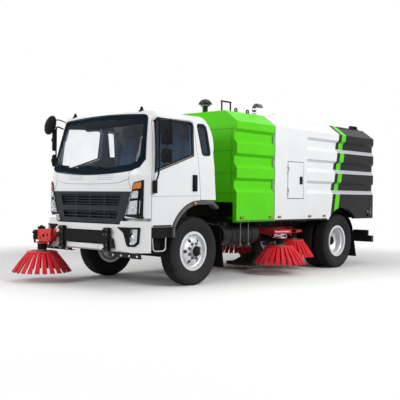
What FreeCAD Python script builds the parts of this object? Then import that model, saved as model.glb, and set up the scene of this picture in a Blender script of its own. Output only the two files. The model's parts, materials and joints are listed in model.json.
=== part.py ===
import FreeCAD, Part
import math
import os
import Sketcher

# Street sweeper truck: a two-axle forward-control lorry with a ribbed engine module behind the cab,
# a tipping hopper with a top-hung tailgate, one front gutter brush and four side brushes.
# Millimetres. +Z up, front towards -Y, the vehicle's left towards +X. The origin lies on the ground
# under the middle of the overall length, so every Y below starts from the front axle and is shifted
# once, by the named value front_axle_y.

V = FreeCAD.Vector
os.makedirs("parts", exist_ok=True)
doc = FreeCAD.newDocument("street_sweeper")

# Driving dimensions

SIZES = {
    # clearances
    "run_gap": 0.3,
    "seat_gap": 0.3,
    "panel_gap": 6,
    # wheels and tyres
    "wheelbase": 3850,
    "tyre_radius": 487,
    "tyre_width": 235,
    "tyre_shoulder": 40,
    "flange_radius": 279,
    "rim_wall": 9,
    "well_radius": 232,
    "front_tyre_x": 882,
    "rear_outer_x": 912,
    "dual_spacing": 280,
    "hub_radius": 88,
    "hub_reach": 52,
    "stud_circle": 110,
    "hand_hole_circle": 168,
    "hand_hole_radius": 27,
    "hand_hole_count": 6,
    "drum_radius": 200,
    "drum_length": 150,
    "spindle_radius": 42,
    # steering and axles
    "kingpin_x": 735,
    "kingpin_radius": 24,
    "axle_beam_width": 90,
    "axle_beam_height": 100,
    "axle_drop": 70,
    "rear_tube_radius": 68,
    "diff_radius": 190,
    "diff_half_width": 150,
    "spring_width": 75,
    "spring_pack": 62,
    "spring_half_length": 640,
    # ladder frame
    "rail_outer_x": 430,
    "rail_top": 860,
    "rail_height": 220,
    "rail_flange": 70,
    "rail_web": 8,
    "rail_front": -1030,
    "rear_overhang": 950,
    "rail_rear": "=wheelbase + rear_overhang",
    "rail_end_cut": 45,
    "crossmember_radius": 45,
    # engine, shaft and tanks
    "engine_half_width": 300,
    "engine_front": -450,
    "engine_rear": 560,
    "engine_bottom": 560,
    "engine_top": 1130,
    "shaft_radius": 45,
    "shaft_z": 560,
    "tank_x": 840,
    "tank_front": 640,
    "tank_rear": 1500,
    "tank_z": 690,
    "tank_radius": 165,
    "strap_width": 45,
    "strap_thickness": 5,
    # cab
    "cab_half_width": 1040,
    "cab_front": -1100,
    "cab_side_front": -860,
    "cab_corner_x": 800,
    "cab_corner_y": -1078,
    "cab_rear": 390,
    "cab_rear_top": 107,
    "cab_break_z": 1540,
    "cab_roof_z": 2440,
    "cab_rake": 0.289,
    "cab_wall": 55,
    "cab_skirt_z": 965,
    "cab_floor_z": 890,
    "cab_platform_z": 1215,
    "cab_step_wall_y": -520,
    "cab_floor_plate": 35,
    "cab_pivot_y": -1040,
    "cab_pivot_z": 930,
    "cab_pivot_radius": 28,
    "cab_pin_radius": 18,
    "roof_front_y": -920,
    "driver_x": 480,
    "glass_depth": 14,
    "glass_thickness": 6,
    "door_front": -905,
    "door_rear": 58,
    "door_bottom": 844,
    "door_top": 2318,
    "door_thickness": 66,
    "arch_top_z": 1205,
    "grille_top_z": 1319,
    "grille_bottom_z": 888,
    "grille_top_x": 828,
    "grille_bottom_x": 670,
    "grille_proud": 12,
    "grille_depth": 34,
    "slat_pitch": 34,
    "slat_height": 12,
    "headlamp_outer_x": 985,
    "headlamp_top_z": 1472,
    "bumper_proud": 62,
    "bumper_shell": 34,
    "bumper_side": 18,
    "bumper_bottom": 510,
    "bumper_end_top": 925,
    "bumper_mid_top": 878,
    "bumper_end_y": -925,
    # mirrors, flares and steps
    "mirror_x": 1195,
    "mirror_top_z": 2270,
    "mirror_tube": 11,
    "flare_proud": 22,
    "step_z": 500,
    # ribbed body
    "body_half_width": 1100,
    "body_shoulder_z": 2400,
    "body_ridge_x": 860,
    "body_ridge_z": 2575,
    "body_skirt_z": 885,
    "body_wall": 72,
    "body_roof": 50,
    "rib_top_z": 2290,
    "rib_pitch": 369,
    "rib_recess": 55,
    "rib_slope_in": 45,
    "rib_flat": 106,
    "rib_slope_out": 68,
    "rib_end_slope": 45,
    "rib_count": 3,
    "module_front": 800,
    "module_rear": 1752,
    "module_step_z": 1184,
    "hopper_front": 1772,
    "hopper_overhang": 30,
    "hopper_rear": "=rail_rear + hopper_overhang",
    "hopper_floor": 1120,
    "hopper_floor_plate": 40,
    "ribs_start": 2690,
    "sill_x": 350,
    "sill_width": 90,
    "arch_radius": 610,
    "tip_setback": 30,
    "tip_pivot_y": "=rail_rear - tip_setback",
    "tip_pivot_z": 945,
    "tip_pin_radius": 30,
    "tailgate_depth": 185,
    "tailgate_wall": 40,
    "gate_pivot_z": 2632,
    "gate_pin_radius": 16,
    "hatch_front": 2130,
    "hatch_rear": 2580,
    "hatch_bottom": 1250,
    "hatch_top": 1850,
    "hatch_thickness": 30,
    "hatch_pivot_x": 1118,
    "hatch_pivot_y": 2138,
    "barrel_radius": 8,
    "barrel_length": 70,
    "hatch_pin_radius": 4,
    # roof fittings
    "exhaust_x": 790,
    "exhaust_y": 1610,
    "exhaust_radius": 32,
    "cap_x": 280,
    "grip_x": 690,
    "eye_x": 800,
    "eye_bore_radius": 17,
    "guard_arc_radius": 545,
    # rear guard
    "guard_half_length": 1050,
    "guard_bottom": 420,
    "guard_top": 545,
    "guard_setback": 235,
    "guard_depth": 80,
    "guard_front": "=rail_rear + guard_setback",
    "guard_rear": "=guard_front + guard_depth",
    "tow_plate": 16,
    "tow_spacing_x": 120,
    "tow_spacing_z": 80,
    "tow_hole_radius": 9,
    # sweeping gear
    "front_brush_x": -930,
    "front_brush_y": -1220,
    "front_brush_disc_z": 445,
    "front_brush_reach": 430,
    "mid_brush_x": 930,
    "mid_brush_y": 2160,
    "mid_brush_disc_z": 480,
    "mid_brush_reach": 430,
    "inner_brush_x": 660,
    "inner_brush_y": 2930,
    "inner_brush_disc_z": 540,
    "inner_brush_reach": 365,
    "brush_drop": 310,
    "root_width": 34,
    "root_thickness": 22,
    "tip_width": 62,
    "tip_thickness": 28,
    "front_pivot_x": -575,
    "front_pivot_z": 700,
    "disc_radius": 225,
    "inner_disc_radius": 190,
    "disc_thickness": 26,
    "tuft_count": 24,
    "motor_radius": 62,
    "motor_height": 95,
    "arm_tube": 26,
    "arm_pin_radius": 16,
    "arm_pivot_x": 520,
    "arm_pivot_z": 720,
    "arm_bearing_front": 1990,
    "arm_bearing_rear": 3090,
    "carrier_x": 483,
    "nozzle_y": 2430,
    "nozzle_half_width": 228,
    "nozzle_half_length": 220,
    "nozzle_clearance": 80,
    "duct_x": 225,
    "duct_radius": 90,
}

sheet = doc.addObject("Spreadsheet::Sheet", "dims")
for row, (alias, value) in enumerate(SIZES.items(), start=1):
    sheet.set(f"A{row}", alias)
    sheet.set(f"B{row}", str(value))
    sheet.setAlias(f"B{row}", alias)
last_row = len(SIZES) + 1
sheet.set(f"A{last_row}", "front_axle_y")
sheet.set(
    f"B{last_row}",
    "=0.5 * (front_brush_reach - front_brush_y - guard_rear - tow_plate)",
)
sheet.setAlias(f"B{last_row}", "front_axle_y")
doc.recompute()


def size(alias):
    """One size of the sheet."""
    return float(sheet.get(alias))


def along(y):
    """The frame's Y of a place measured rearwards from the front axle."""
    return y + size("front_axle_y")


# Shape helpers


def block(x0, x1, y0, y1, z0, z1):
    """A box between two corners, Y measured from the front axle."""
    low = V(min(x0, x1), along(min(y0, y1)), min(z0, z1))
    return Part.makeBox(abs(x1 - x0), abs(y1 - y0), abs(z1 - z0), low)


def rod(start, end, radius):
    """A round bar between two places, each (x, y from the front axle, z)."""
    a = V(start[0], along(start[1]), start[2])
    b = V(end[0], along(end[1]), end[2])
    return Part.makeCylinder(radius, (b - a).Length, a, b - a)


def cross_rod(x0, x1, y, z, radius):
    """A round bar across the vehicle."""
    return rod((min(x0, x1), y, z), (max(x0, x1), y, z), radius)


def side_prism(x0, x1, wire_points):
    """An outline in the side view, (y, z) pairs, run across from x0 to x1."""
    places = [V(x0, along(y), z) for y, z in wire_points]
    face = Part.Face(Part.makePolygon(places + places[:1]))
    return face.extrude(V(x1 - x0, 0, 0))


def front_prism(y0, y1, wire_points):
    """An outline in the front view, (x, z) pairs, run along from y0 to y1."""
    places = [V(x, along(y0), z) for x, z in wire_points]
    face = Part.Face(Part.makePolygon(places + places[:1]))
    return face.extrude(V(0, y1 - y0, 0))


def joined(shapes):
    """One solid from shapes that overlap or touch."""
    first, *rest = shapes
    return first.fuse(rest).removeSplitter() if rest else first


def without(shape, tools):
    """A shape with each tool cut from it in turn."""
    for tool in tools:
        shape = shape.cut(tool)
    return shape


def apart(shapes):
    """Like pieces that share a node and don't touch."""
    return Part.makeCompound(shapes)


def mirrored(shape):
    """The same piece on the other side of the vehicle."""
    return shape.mirror(V(0, 0, 0), V(1, 0, 0))


def both_sides(shape):
    return apart([shape, mirrored(shape)])


def outline_wire(steps, place):
    """A closed wire from (u, v) points; a pair inside a list marks the middle point of an arc."""
    edges = []
    here = steps[0]
    items = steps[1:] + [steps[0]]
    index = 0
    while index < len(items):
        item = items[index]
        if isinstance(item, list):
            index += 1
            after = items[index]
            edges.append(Part.Arc(place(*here), place(*item), place(*after)).toShape())
        else:
            after = item
            edges.append(Part.LineSegment(place(*here), place(*after)).toShape())
        here = after
        index += 1
    return Part.Wire(edges)


nodes = []


def feature(label, shape, place=V(0, 0, 0)):
    """A sub-part whose shape is worked out from the sheet's sizes, set at its place."""
    thing = doc.addObject("Part::Feature", label)
    thing.Label = label
    thing.Shape = shape
    thing.Placement = FreeCAD.Placement(place, FreeCAD.Rotation())
    nodes.append(thing)
    return thing


def bind(thing, **expressions):
    """Tie properties of an object to the sheet; two underscores stand for a dot."""
    for name, text in expressions.items():
        thing.setExpression(name.replace("__", "."), text)


# Parametric bodies


def new_body(label):
    body = doc.addObject("PartDesign::Body", label)
    body.Label = label
    return body


def origin_item(body, role):
    """One of a body's own origin planes or axes."""
    return next(item for item in body.Origin.OriginFeatures if item.Role == role)


def bound_sketch(body, name, plane, corners):
    """A closed outline whose corners are pairs of expressions in the sheet's sizes."""
    sketch = body.newObject("Sketcher::SketchObject", name)
    sketch.AttachmentSupport = (origin_item(body, plane), [""])
    sketch.MapMode = "FlatFace"
    values = [[sheet_value(text) for text in pair] for pair in corners]
    count = len(values)
    for index, start in enumerate(values):
        end = values[(index + 1) % count]
        sketch.addGeometry(Part.LineSegment(V(*start, 0), V(*end, 0)))
    for index in range(count):
        sketch.addConstraint(Sketcher.Constraint("Coincident", index, 2, (index + 1) % count, 1))
    for index, pair in enumerate(corners):
        for kind, text, value in zip(("DistanceX", "DistanceY"), pair, values[index]):
            number = sketch.addConstraint(Sketcher.Constraint(kind, -1, 1, index, 1, value))
            sketch.setExpression(f"Constraints[{number}]", text)
    return sketch


def sheet_value(text):
    """The present value of an expression in the sheet's sizes."""
    return float(sheet.evalExpression(text.replace("dims.", "")))


def add_revolution(body, name, corners):
    """A revolved feature about the body's X axis, drawn as (along the axle, radius) corners."""
    sketch = bound_sketch(body, f"{name}_outline", "XZ_Plane", corners)
    turn = body.newObject("PartDesign::Revolution", name)
    turn.Profile = sketch
    turn.ReferenceAxis = (sketch, ["H_Axis"])
    turn.Angle = 360
    body.Tip = turn
    doc.recompute()
    return turn


def drill_ring(body, name, circle, radius, count, depth):
    """A ring of round holes bored along the axle from the body's middle plane outwards."""
    sketch = body.newObject("Sketcher::SketchObject", f"{name}_outline")
    sketch.AttachmentSupport = (origin_item(body, "YZ_Plane"), [""])
    sketch.MapMode = "FlatFace"
    centre = V(sheet_value(circle), 0, 0)
    sketch.addGeometry(Part.Circle(centre, V(0, 0, 1), sheet_value(radius)))
    sketch.addConstraint(Sketcher.Constraint("PointOnObject", 0, 3, -1))
    across = sketch.addConstraint(Sketcher.Constraint("DistanceX", -1, 1, 0, 3, centre.x))
    sketch.setExpression(f"Constraints[{across}]", circle)
    bore = sketch.addConstraint(Sketcher.Constraint("Radius", 0, sheet_value(radius)))
    sketch.setExpression(f"Constraints[{bore}]", radius)
    solid_before = body.Shape.Volume
    pocket = body.newObject("PartDesign::Pocket", name)
    pocket.Profile = sketch
    bind(pocket, Length=depth)
    pocket.Reversed = True
    body.Tip = pocket
    doc.recompute()
    if body.Shape.Volume >= solid_before - 1:
        raise RuntimeError(f"{name} in {body.Label} cuts nothing")
    ring = body.newObject("PartDesign::PolarPattern", f"{name}_ring")
    ring.Originals = [pocket]
    ring.Axis = (origin_item(body, "X_Axis"), [""])
    ring.Angle = 360
    bind(ring, Occurrences=count)
    body.Tip = ring
    doc.recompute()


def place_on_axle(body, x_text, y_text, side):
    """Set a wheel body on its axle; the right side is the left one turned half round."""
    body.Placement = FreeCAD.Placement(V(0, 0, 0), FreeCAD.Rotation(V(0, 0, 1), 0 if side > 0 else 180))
    bind(
        body,
        Placement__Base__x=x_text if side > 0 else f"-({x_text})",
        Placement__Base__y=y_text,
        Placement__Base__z="dims.tyre_radius",
    )


# Wheels

FRONT_Y = "dims.front_axle_y"
REAR_Y = "dims.front_axle_y + dims.wheelbase"
BEAD = "(0.36 * dims.tyre_width)"
SEAT = "(dims.flange_radius - 25)"


def tyre_corners(shift):
    """Half-round section of a tyre: bead seats, bulged walls and a flat tread."""
    half = "(dims.tyre_width / 2)"
    bulge = "(0.42 * dims.tyre_radius + 0.58 * dims.flange_radius)"
    left = [
        (f"-({BEAD} - 12)", f"{SEAT} + dims.seat_gap"),
        (f"-({BEAD} - 12)", "dims.flange_radius + 8"),
        (f"-({half} - 5)", f"{bulge} - 30"),
        (f"-{half}", f"{bulge} + 22"),
        (f"-({half} - 12)", "dims.tyre_radius - dims.tyre_shoulder"),
        (f"-({half} - 30)", "dims.tyre_radius - 6"),
        (f"-({half} - 46)", "dims.tyre_radius"),
    ]
    right = [(x[1:], r) for x, r in reversed(left)]
    return [(f"{shift} + ({x})", r) for x, r in left + right]


def barrel_corners(shift):
    """Section of a rim: flanges, bead seats and the drop well."""
    outside = [
        (f"-({BEAD} + 4)", "dims.flange_radius"),
        (f"-({BEAD} - 6)", "dims.flange_radius"),
        (f"-({BEAD} - 11)", SEAT),
        ("-34", f"{SEAT} - 4"),
        ("-22", "dims.well_radius"),
    ]
    inside = [
        ("-26", "dims.well_radius - dims.rim_wall"),
        ("-38", f"{SEAT} - 4 - dims.rim_wall"),
        (f"-({BEAD} + 4)", f"{SEAT} - dims.rim_wall"),
    ]
    outside += [(x[1:], r) for x, r in reversed(outside)]
    inside = [(x[1:], r) for x, r in reversed(inside)] + inside
    return [(f"{shift} + ({x})", r) for x, r in outside + inside]


def tyre_body(label, shift="0"):
    body = new_body(label)
    add_revolution(body, f"{label}_carcass", tyre_corners(shift))
    return body


def front_rim(label):
    """A disc wheel dished outwards, with its hub and brake drum."""
    body = new_body(label)
    bore = "(dims.spindle_radius + dims.run_gap)"
    add_revolution(body, f"{label}_barrel", barrel_corners("0"))
    add_revolution(
        body,
        f"{label}_disc",
        [
            ("14", "dims.well_radius - 3"),
            ("0", "dims.well_radius - 5"),
            ("64", "dims.stud_circle + 72"),
            ("84", "dims.stud_circle + 34"),
            ("84", bore),
            ("96", bore),
            ("96", "dims.stud_circle + 36"),
            ("76", "dims.stud_circle + 76"),
        ],
    )
    drill_ring(
        body, f"{label}_hand_holes", "dims.hand_hole_circle", "dims.hand_hole_radius",
        "dims.hand_hole_count", "130",
    )
    add_revolution(
        body,
        f"{label}_hub",
        [
            ("-55", bore),
            ("96 + dims.hub_reach - 20", bore),
            ("96 + dims.hub_reach - 20", "1"),
            ("96 + dims.hub_reach", "1"),
            ("96 + dims.hub_reach", "dims.hub_radius - 22"),
            ("96 + dims.hub_reach - 14", "dims.hub_radius - 8"),
            ("90", "dims.hub_radius"),
            ("-55", "dims.hub_radius"),
        ],
    )
    add_revolution(
        body,
        f"{label}_drum",
        [
            ("-82", "dims.drum_radius - 14"),
            ("-30", "dims.drum_radius - 14"),
            ("-30", "dims.hub_radius - 4"),
            ("-16", "dims.hub_radius - 4"),
            ("-16", "dims.drum_radius"),
            ("-82", "dims.drum_radius"),
        ],
    )
    return body


def rear_rims(label):
    """Twin disc wheels bolted back to back on one hub, with the brake drum inside."""
    body = new_body(label)
    bore = "(dims.spindle_radius + dims.run_gap)"
    half = "(dims.dual_spacing / 2)"
    reach = f"({half} - {BEAD} - 6)"
    add_revolution(body, f"{label}_outer_barrel", barrel_corners(half))
    for side, name in (("", "outer"), ("-", "inner")):
        add_revolution(
            body,
            f"{label}_{name}_disc",
            [
                (f"{side}(0)", "dims.stud_circle - 30"),
                (f"{side}(12)", "dims.stud_circle - 30"),
                (f"{side}(12)", "dims.stud_circle + 60"),
                (f"{side}({reach} + 16)", f"{SEAT} - dims.rim_wall - 1"),
                (f"{side}({reach} + 16)", f"{SEAT} - 2"),
                (f"{side}({reach})", f"{SEAT} - 2"),
                (f"{side}(0)", "dims.stud_circle + 66"),
            ],
        )
    drill_ring(
        body, f"{label}_hand_holes", "dims.hand_hole_circle", "dims.hand_hole_radius",
        "dims.hand_hole_count", f"{half}",
    )
    add_revolution(body, f"{label}_inner_barrel", barrel_corners(f"-{half}"))
    add_revolution(
        body,
        f"{label}_hub",
        [
            ("-100", bore),
            ("70", bore),
            ("70", "1"),
            ("110", "1"),
            ("110", "dims.hub_radius - 30"),
            ("96", "dims.hub_radius - 12"),
            ("30", "dims.hub_radius - 4"),
            ("12", "dims.hub_radius + 10"),
            ("-100", "dims.hub_radius + 10"),
        ],
    )
    add_revolution(
        body,
        f"{label}_drum",
        [
            ("-40 - dims.drum_length", "dims.drum_radius - 14"),
            ("-54", "dims.drum_radius - 14"),
            ("-54", "dims.hub_radius"),
            ("-40", "dims.hub_radius"),
            ("-40", "dims.drum_radius"),
            ("-40 - dims.drum_length", "dims.drum_radius"),
        ],
    )
    return body


REAR_MIDDLE_X = "(dims.rear_outer_x - dims.dual_spacing / 2)"
for side, word in ((1, "left"), (-1, "right")):
    tyre = tyre_body(f"tyre_front_{word}")
    rim = front_rim(f"rim_front_{word}")
    for piece in (tyre, rim):
        place_on_axle(piece, "dims.front_tyre_x", FRONT_Y, side)
        nodes.append(piece)
    pair = []
    for name, shift in (("outer", "dims.dual_spacing / 2"), ("inner", "-dims.dual_spacing / 2")):
        one = tyre_body(f"tyre_rear_{name}_{word}", shift)
        place_on_axle(one, REAR_MIDDLE_X, REAR_Y, side)
        pair.append(one)
    twin = doc.addObject("Part::Compound", f"tyres_rear_{word}")
    twin.Label = f"tyres_rear_{word}"
    twin.Links = pair
    nodes.append(twin)
    rims = rear_rims(f"rims_rear_{word}")
    place_on_axle(rims, REAR_MIDDLE_X, REAR_Y, side)
    nodes.append(rims)


class Dims:
    """The sheet's sizes by name, for the shapes that are worked out below."""


D = Dims()
for alias in [*SIZES, "front_axle_y"]:
    setattr(D, alias, size(alias))

AXLE_Z = D.tyre_radius
RAIL_BOTTOM = D.rail_top - D.rail_height
FLOOR_OF_BODY = D.rail_top + D.seat_gap

# Ladder frame

rail = new_body("rail_left")
rail_section = bound_sketch(
    rail,
    "rail_section",
    "XZ_Plane",
    [
        ("dims.rail_outer_x", "dims.rail_top"),
        ("dims.rail_outer_x", "dims.rail_top - dims.rail_height"),
        ("dims.rail_outer_x - dims.rail_flange", "dims.rail_top - dims.rail_height"),
        ("dims.rail_outer_x - dims.rail_flange", "dims.rail_top - dims.rail_height + dims.rail_web"),
        ("dims.rail_outer_x - dims.rail_web", "dims.rail_top - dims.rail_height + dims.rail_web"),
        ("dims.rail_outer_x - dims.rail_web", "dims.rail_top - dims.rail_web"),
        ("dims.rail_outer_x - dims.rail_flange", "dims.rail_top - dims.rail_web"),
        ("dims.rail_outer_x - dims.rail_flange", "dims.rail_top"),
    ],
)
rail_pad = rail.newObject("PartDesign::Pad", "rail_pad")
rail_pad.Profile = rail_section
rail_pad.Reversed = True
bind(rail_pad, Length="dims.rail_rear - dims.rail_front")
bind(rail, Placement__Base__y="dims.front_axle_y + dims.rail_front")
rail.Tip = rail_pad

rail_right = doc.addObject("Part::Mirroring", "rail_right")
rail_right.Source = rail
rail_right.Normal = V(1, 0, 0)

CROSSMEMBERS = {
    "cross_front": ("dims.rail_front + 60", "dims.rail_top - 150"),
    "cross_gearbox": ("dims.engine_rear + 140", "dims.rail_top - 60"),
    "cross_module": ("dims.module_rear", "dims.rail_top - 60"),
    "cross_middle": ("0.72 * dims.wheelbase", "dims.rail_top - 60"),
    "cross_rear": ("dims.wheelbase + 480", "dims.rail_top - 60"),
    "cross_tail": ("dims.rail_rear - 120", "dims.rail_top - 100"),
}


def cross_tube(label, y_text, z_text, radius_text, half_text):
    """A tube across the frame, from one rail's web to the other's."""
    tube = doc.addObject("Part::Cylinder", label)
    tube.Placement = FreeCAD.Placement(V(0, 0, 0), FreeCAD.Rotation(V(0, 1, 0), 90))
    bind(
        tube,
        Radius=radius_text,
        Height=f"2 * ({half_text})",
        Placement__Base__x=f"-({half_text})",
        Placement__Base__y=f"dims.front_axle_y + {y_text}",
        Placement__Base__z=z_text,
    )
    return tube


WEB = "dims.rail_outer_x - dims.rail_web / 2"
tubes = [
    cross_tube(label, y_text, z_text, "dims.crossmember_radius", WEB)
    for label, (y_text, z_text) in CROSSMEMBERS.items()
]
ladder = doc.addObject("Part::MultiFuse", "ladder")
ladder.Shapes = [rail, rail_right, *tubes]
tail_wedge = doc.addObject("Part::Feature", "tail_wedge")
tail_wedge.Shape = side_prism(
    -D.rail_outer_x - 5, D.rail_outer_x + 5,
    [(D.rail_rear - D.rail_end_cut - 5, D.rail_top + 5), (D.rail_rear + 5, D.rail_top + 5),
     (D.rail_rear + 5, D.rail_top - D.rail_end_cut - 5)],
)
frame = doc.addObject("Part::Cut", "frame_rails")
frame.Label = "frame_rails"
frame.Base = ladder
frame.Tool = tail_wedge
nodes.append(frame)

# Axles, springs and knuckles


def leaf_spring(x, y):
    """A stack of leaves, bowed so that its ends meet the rail and its middle sits on the axle."""
    seat = AXLE_Z + D.rear_tube_radius + D.seat_gap
    half, pack, width = D.spring_half_length, D.spring_pack, D.spring_width
    top = RAIL_BOTTOM - D.seat_gap
    upper = [(-half, top), [0, seat + pack], (half, top)]
    place = lambda u, w: V(x - width / 2, along(y + u), w)
    lower = [(half - 4, top - 14), (0.6 * half, seat + 22), (0.34 * half, seat + 4), (0.1 * half, seat)]
    outline = upper + lower + [(-u, w) for u, w in reversed(lower)]
    return Part.Face(outline_wire(outline, place)).extrude(V(width, 0, 0))


def front_axle():
    """A dropped beam with a forked kingpin ear at each end, carried by two leaf springs."""
    half_w, half_h = D.axle_beam_width / 2, D.axle_beam_height / 2
    low = AXLE_Z - D.axle_drop
    inner = D.kingpin_x - 150
    beam_line = [
        (-inner, low + half_h), (inner, low + half_h), (D.kingpin_x - 40, AXLE_Z + 112),
        (D.kingpin_x + 30, AXLE_Z + 112), (D.kingpin_x + 30, AXLE_Z - 112),
        (D.kingpin_x - 60, AXLE_Z - 112), (inner + 20, low - half_h),
        (-inner - 20, low - half_h), (-D.kingpin_x + 60, AXLE_Z - 112),
        (-D.kingpin_x - 30, AXLE_Z - 112), (-D.kingpin_x - 30, AXLE_Z + 112),
        (-D.kingpin_x + 40, AXLE_Z + 112),
    ]
    beam = front_prism(-half_w, half_w, beam_line)
    for side in (1, -1):
        x = side * D.kingpin_x
        throat = block(x - 62, x + 62, -half_w - 20, half_w + 20, AXLE_Z - 82, AXLE_Z + 82)
        beam = beam.cut(throat)
        beam = beam.fuse(rod((x, 0, AXLE_Z - 112), (x, 0, AXLE_Z + 112), D.kingpin_radius))
    rail_x = D.rail_outer_x - D.spring_width / 2
    seat_top = AXLE_Z + D.rear_tube_radius
    pads = [
        block(s * rail_x - 45, s * rail_x + 45, -60, 60, low + half_h - 5, seat_top) for s in (1, -1)
    ]
    return apart([joined([beam, *pads]), leaf_spring(rail_x, 0), leaf_spring(-rail_x, 0)])


def rear_axle():
    """A banjo housing with its nose, tubes, spindles and two leaf springs."""
    y = D.wheelbase
    tube_end = D.rear_outer_x - D.dual_spacing / 2 - D.drum_length - 60
    spindle_end = D.rear_outer_x - D.dual_spacing / 2 + 60
    tube = cross_rod(-tube_end, tube_end, y, AXLE_Z, D.rear_tube_radius)
    spindle = cross_rod(-spindle_end, spindle_end, y, AXLE_Z, D.spindle_radius)
    banjo = cross_rod(-D.diff_half_width, D.diff_half_width, y, AXLE_Z, D.diff_radius)
    rim_edges = [e for e in banjo.Edges if abs(e.Length - 2 * math.pi * D.diff_radius) < 1]
    banjo = banjo.makeFillet(D.diff_half_width * 0.55, rim_edges)
    nose_start = V(0, along(y - D.diff_radius + 60), AXLE_Z + 6)
    nose = Part.makeCone(130, D.shaft_radius + 18, 200, nose_start, V(0, -1, 0))
    rail_x = D.rail_outer_x - D.spring_width / 2
    return apart([joined([tube, spindle, banjo, nose]), leaf_spring(rail_x, y), leaf_spring(-rail_x, y)])


def knuckle():
    """The left steering knuckle: a bored boss on the kingpin, the spindle and the steering arm."""
    boss = rod((D.kingpin_x, 0, AXLE_Z - 81), (D.kingpin_x, 0, AXLE_Z + 81), D.kingpin_radius + 24)
    spindle = cross_rod(D.kingpin_x, D.front_tyre_x + 96 + D.hub_reach - 26, 0, AXLE_Z, D.spindle_radius)
    collar = cross_rod(D.kingpin_x, D.front_tyre_x - 60, 0, AXLE_Z, D.spindle_radius + 20)
    arm = rod((D.kingpin_x + 10, 40, AXLE_Z - 60), (D.kingpin_x - 20, 190, AXLE_Z - 60), 17)
    eye = rod((D.kingpin_x - 20, 190, AXLE_Z - 85), (D.kingpin_x - 20, 190, AXLE_Z - 35), 26)
    hole = rod((D.kingpin_x, 0, AXLE_Z - 90), (D.kingpin_x, 0, AXLE_Z + 90), D.kingpin_radius + D.run_gap)
    return joined([boss, spindle, collar, arm, eye]).cut(hole)


feature("front_axle", front_axle())
feature("rear_axle", rear_axle())
feature("knuckle_left", knuckle())
feature("knuckle_right", mirrored(knuckle()))

# Engine, shaft and tanks


def powertrain():
    """Plain blocks for the engine, gearbox, radiator and auxiliary engine, with the drive shaft."""
    w = D.engine_half_width
    engine = block(-w, w, D.engine_front, D.engine_rear, D.engine_bottom, D.engine_top)
    radiator = block(-w - 50, w + 50, D.engine_front - 190, D.engine_front - 120, 540, 868)
    hoses = [
        rod((s * 200, D.engine_front - 125, z), (s * 200, D.engine_front + 5, z), 24)
        for s, z in ((1, 600), (-1, 820))
    ]
    gearbox = block(-150, 150, D.engine_rear - 5, D.engine_rear + 110, D.shaft_z - 60, D.shaft_z + 160)
    flange_y = D.wheelbase - D.diff_radius - 140
    shaft = rod((0, D.engine_rear + 100, D.shaft_z + 40), (0, flange_y - 40, AXLE_Z + 6), D.shaft_radius)
    flange = rod((0, flange_y - 48, AXLE_Z + 6), (0, flange_y - D.seat_gap, AXLE_Z + 6), D.shaft_radius + 18)
    mounts = [
        block(s * (w - 10), s * (D.rail_outer_x - D.rail_web), y, y + 90, 700, 760)
        for s in (1, -1) for y in (-200, 300)
    ]
    aux_bottom = D.rail_top + 90
    aux = block(-380, 380, D.module_front + 170, D.module_rear - 180, aux_bottom, aux_bottom + 560)
    feet = block(-380, 380, D.module_front + 300, D.module_rear - 330, D.rail_top + D.seat_gap, aux_bottom + 5)
    return apart([joined([engine, gearbox, shaft, flange, radiator, *hoses, *mounts]), joined([aux, feet])])


def side_tanks():
    """The round fuel tank on the left and the battery box on the right, each strapped to the frame."""
    x, z, r = D.tank_x, D.tank_z, D.tank_radius
    tank = rod((x, D.tank_front, z), (x, D.tank_rear, z), r)
    tank = tank.makeFillet(22, [e for e in tank.Edges if abs(e.Length - 2 * math.pi * r) < 1])
    straps = []
    arms = []
    for y in (D.tank_front + 190, D.tank_rear - 190):
        ring = rod((x, y, z), (x, y + D.strap_width, z), r + D.strap_thickness)
        straps.append(ring)
        arms.append(block(D.rail_outer_x, x, y, y + D.strap_width, z - 30, z + 30))
        arms.append(block(D.rail_outer_x, D.rail_outer_x + 10, y - 20, y + 65, z - 45, z + 110))
    left = joined([tank, *straps, *arms])
    box = block(-x - r + 20, -x + r, D.tank_front, D.tank_rear - 240, z - 150, z + 140)
    lid = block(-x - r + 12, -x + r + 8, D.tank_front - 8, D.tank_rear - 232, z + 140, z + 165)
    hangers = [
        block(-D.rail_outer_x, -x + r, y, y + 60, z - 20, z + 100) for y in (D.tank_front + 90, D.tank_rear - 420)
    ]
    return apart([left, joined([box, lid, *hangers])])


feature("powertrain", powertrain())
feature("side_tanks", side_tanks())

# Ribbed body


def body_outline(inset, floor_z, roof_inset=None):
    """The body's section across: straight sides, sloped shoulders and a flat roof."""
    drop = inset if roof_inset is None else roof_inset
    side = D.body_half_width - inset
    ridge = D.body_ridge_x - 0.4 * inset
    half = [(side, floor_z), (side, D.body_shoulder_z - 0.5 * drop), (ridge, D.body_ridge_z - drop)]
    return half + [(-x, z) for x, z in reversed(half)]


def rib_recess(y0, y1, top_z):
    """A pressed recess of the left wall: a trough with sloped sides and ends."""
    outer_x = D.body_half_width + 1
    inner_x = D.body_half_width - D.rib_recess
    depth = D.rib_slope_in + D.rib_flat + D.rib_slope_out
    low = top_z - depth
    outer = [(y0, top_z), (y1, top_z), (y1, low), (y0, low)]
    end = D.rib_end_slope
    inner = [
        (y0 + end, top_z - D.rib_slope_in),
        (y1 - end, top_z - D.rib_slope_in),
        (y1 - end, low + D.rib_slope_out),
        (y0 + end, low + D.rib_slope_out),
    ]
    wires = []
    for x, corners in ((outer_x, outer), (inner_x, inner)):
        places = [V(x, along(y), z) for y, z in corners]
        wires.append(Part.makePolygon(places + places[:1]))
    return Part.makeLoft(wires, True, True)


def rib_recesses(y0, y1):
    """Every recess of both side walls between two places along the body."""
    left = [rib_recess(y0, y1, D.rib_top_z - n * D.rib_pitch) for n in range(int(D.rib_count))]
    return left + [mirrored(one) for one in left]


def wheel_arch(half_width, radius):
    """The space over a rear wheel, right across the body."""
    return cross_rod(-half_width, half_width, D.wheelbase, AXLE_Z, radius)


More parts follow.
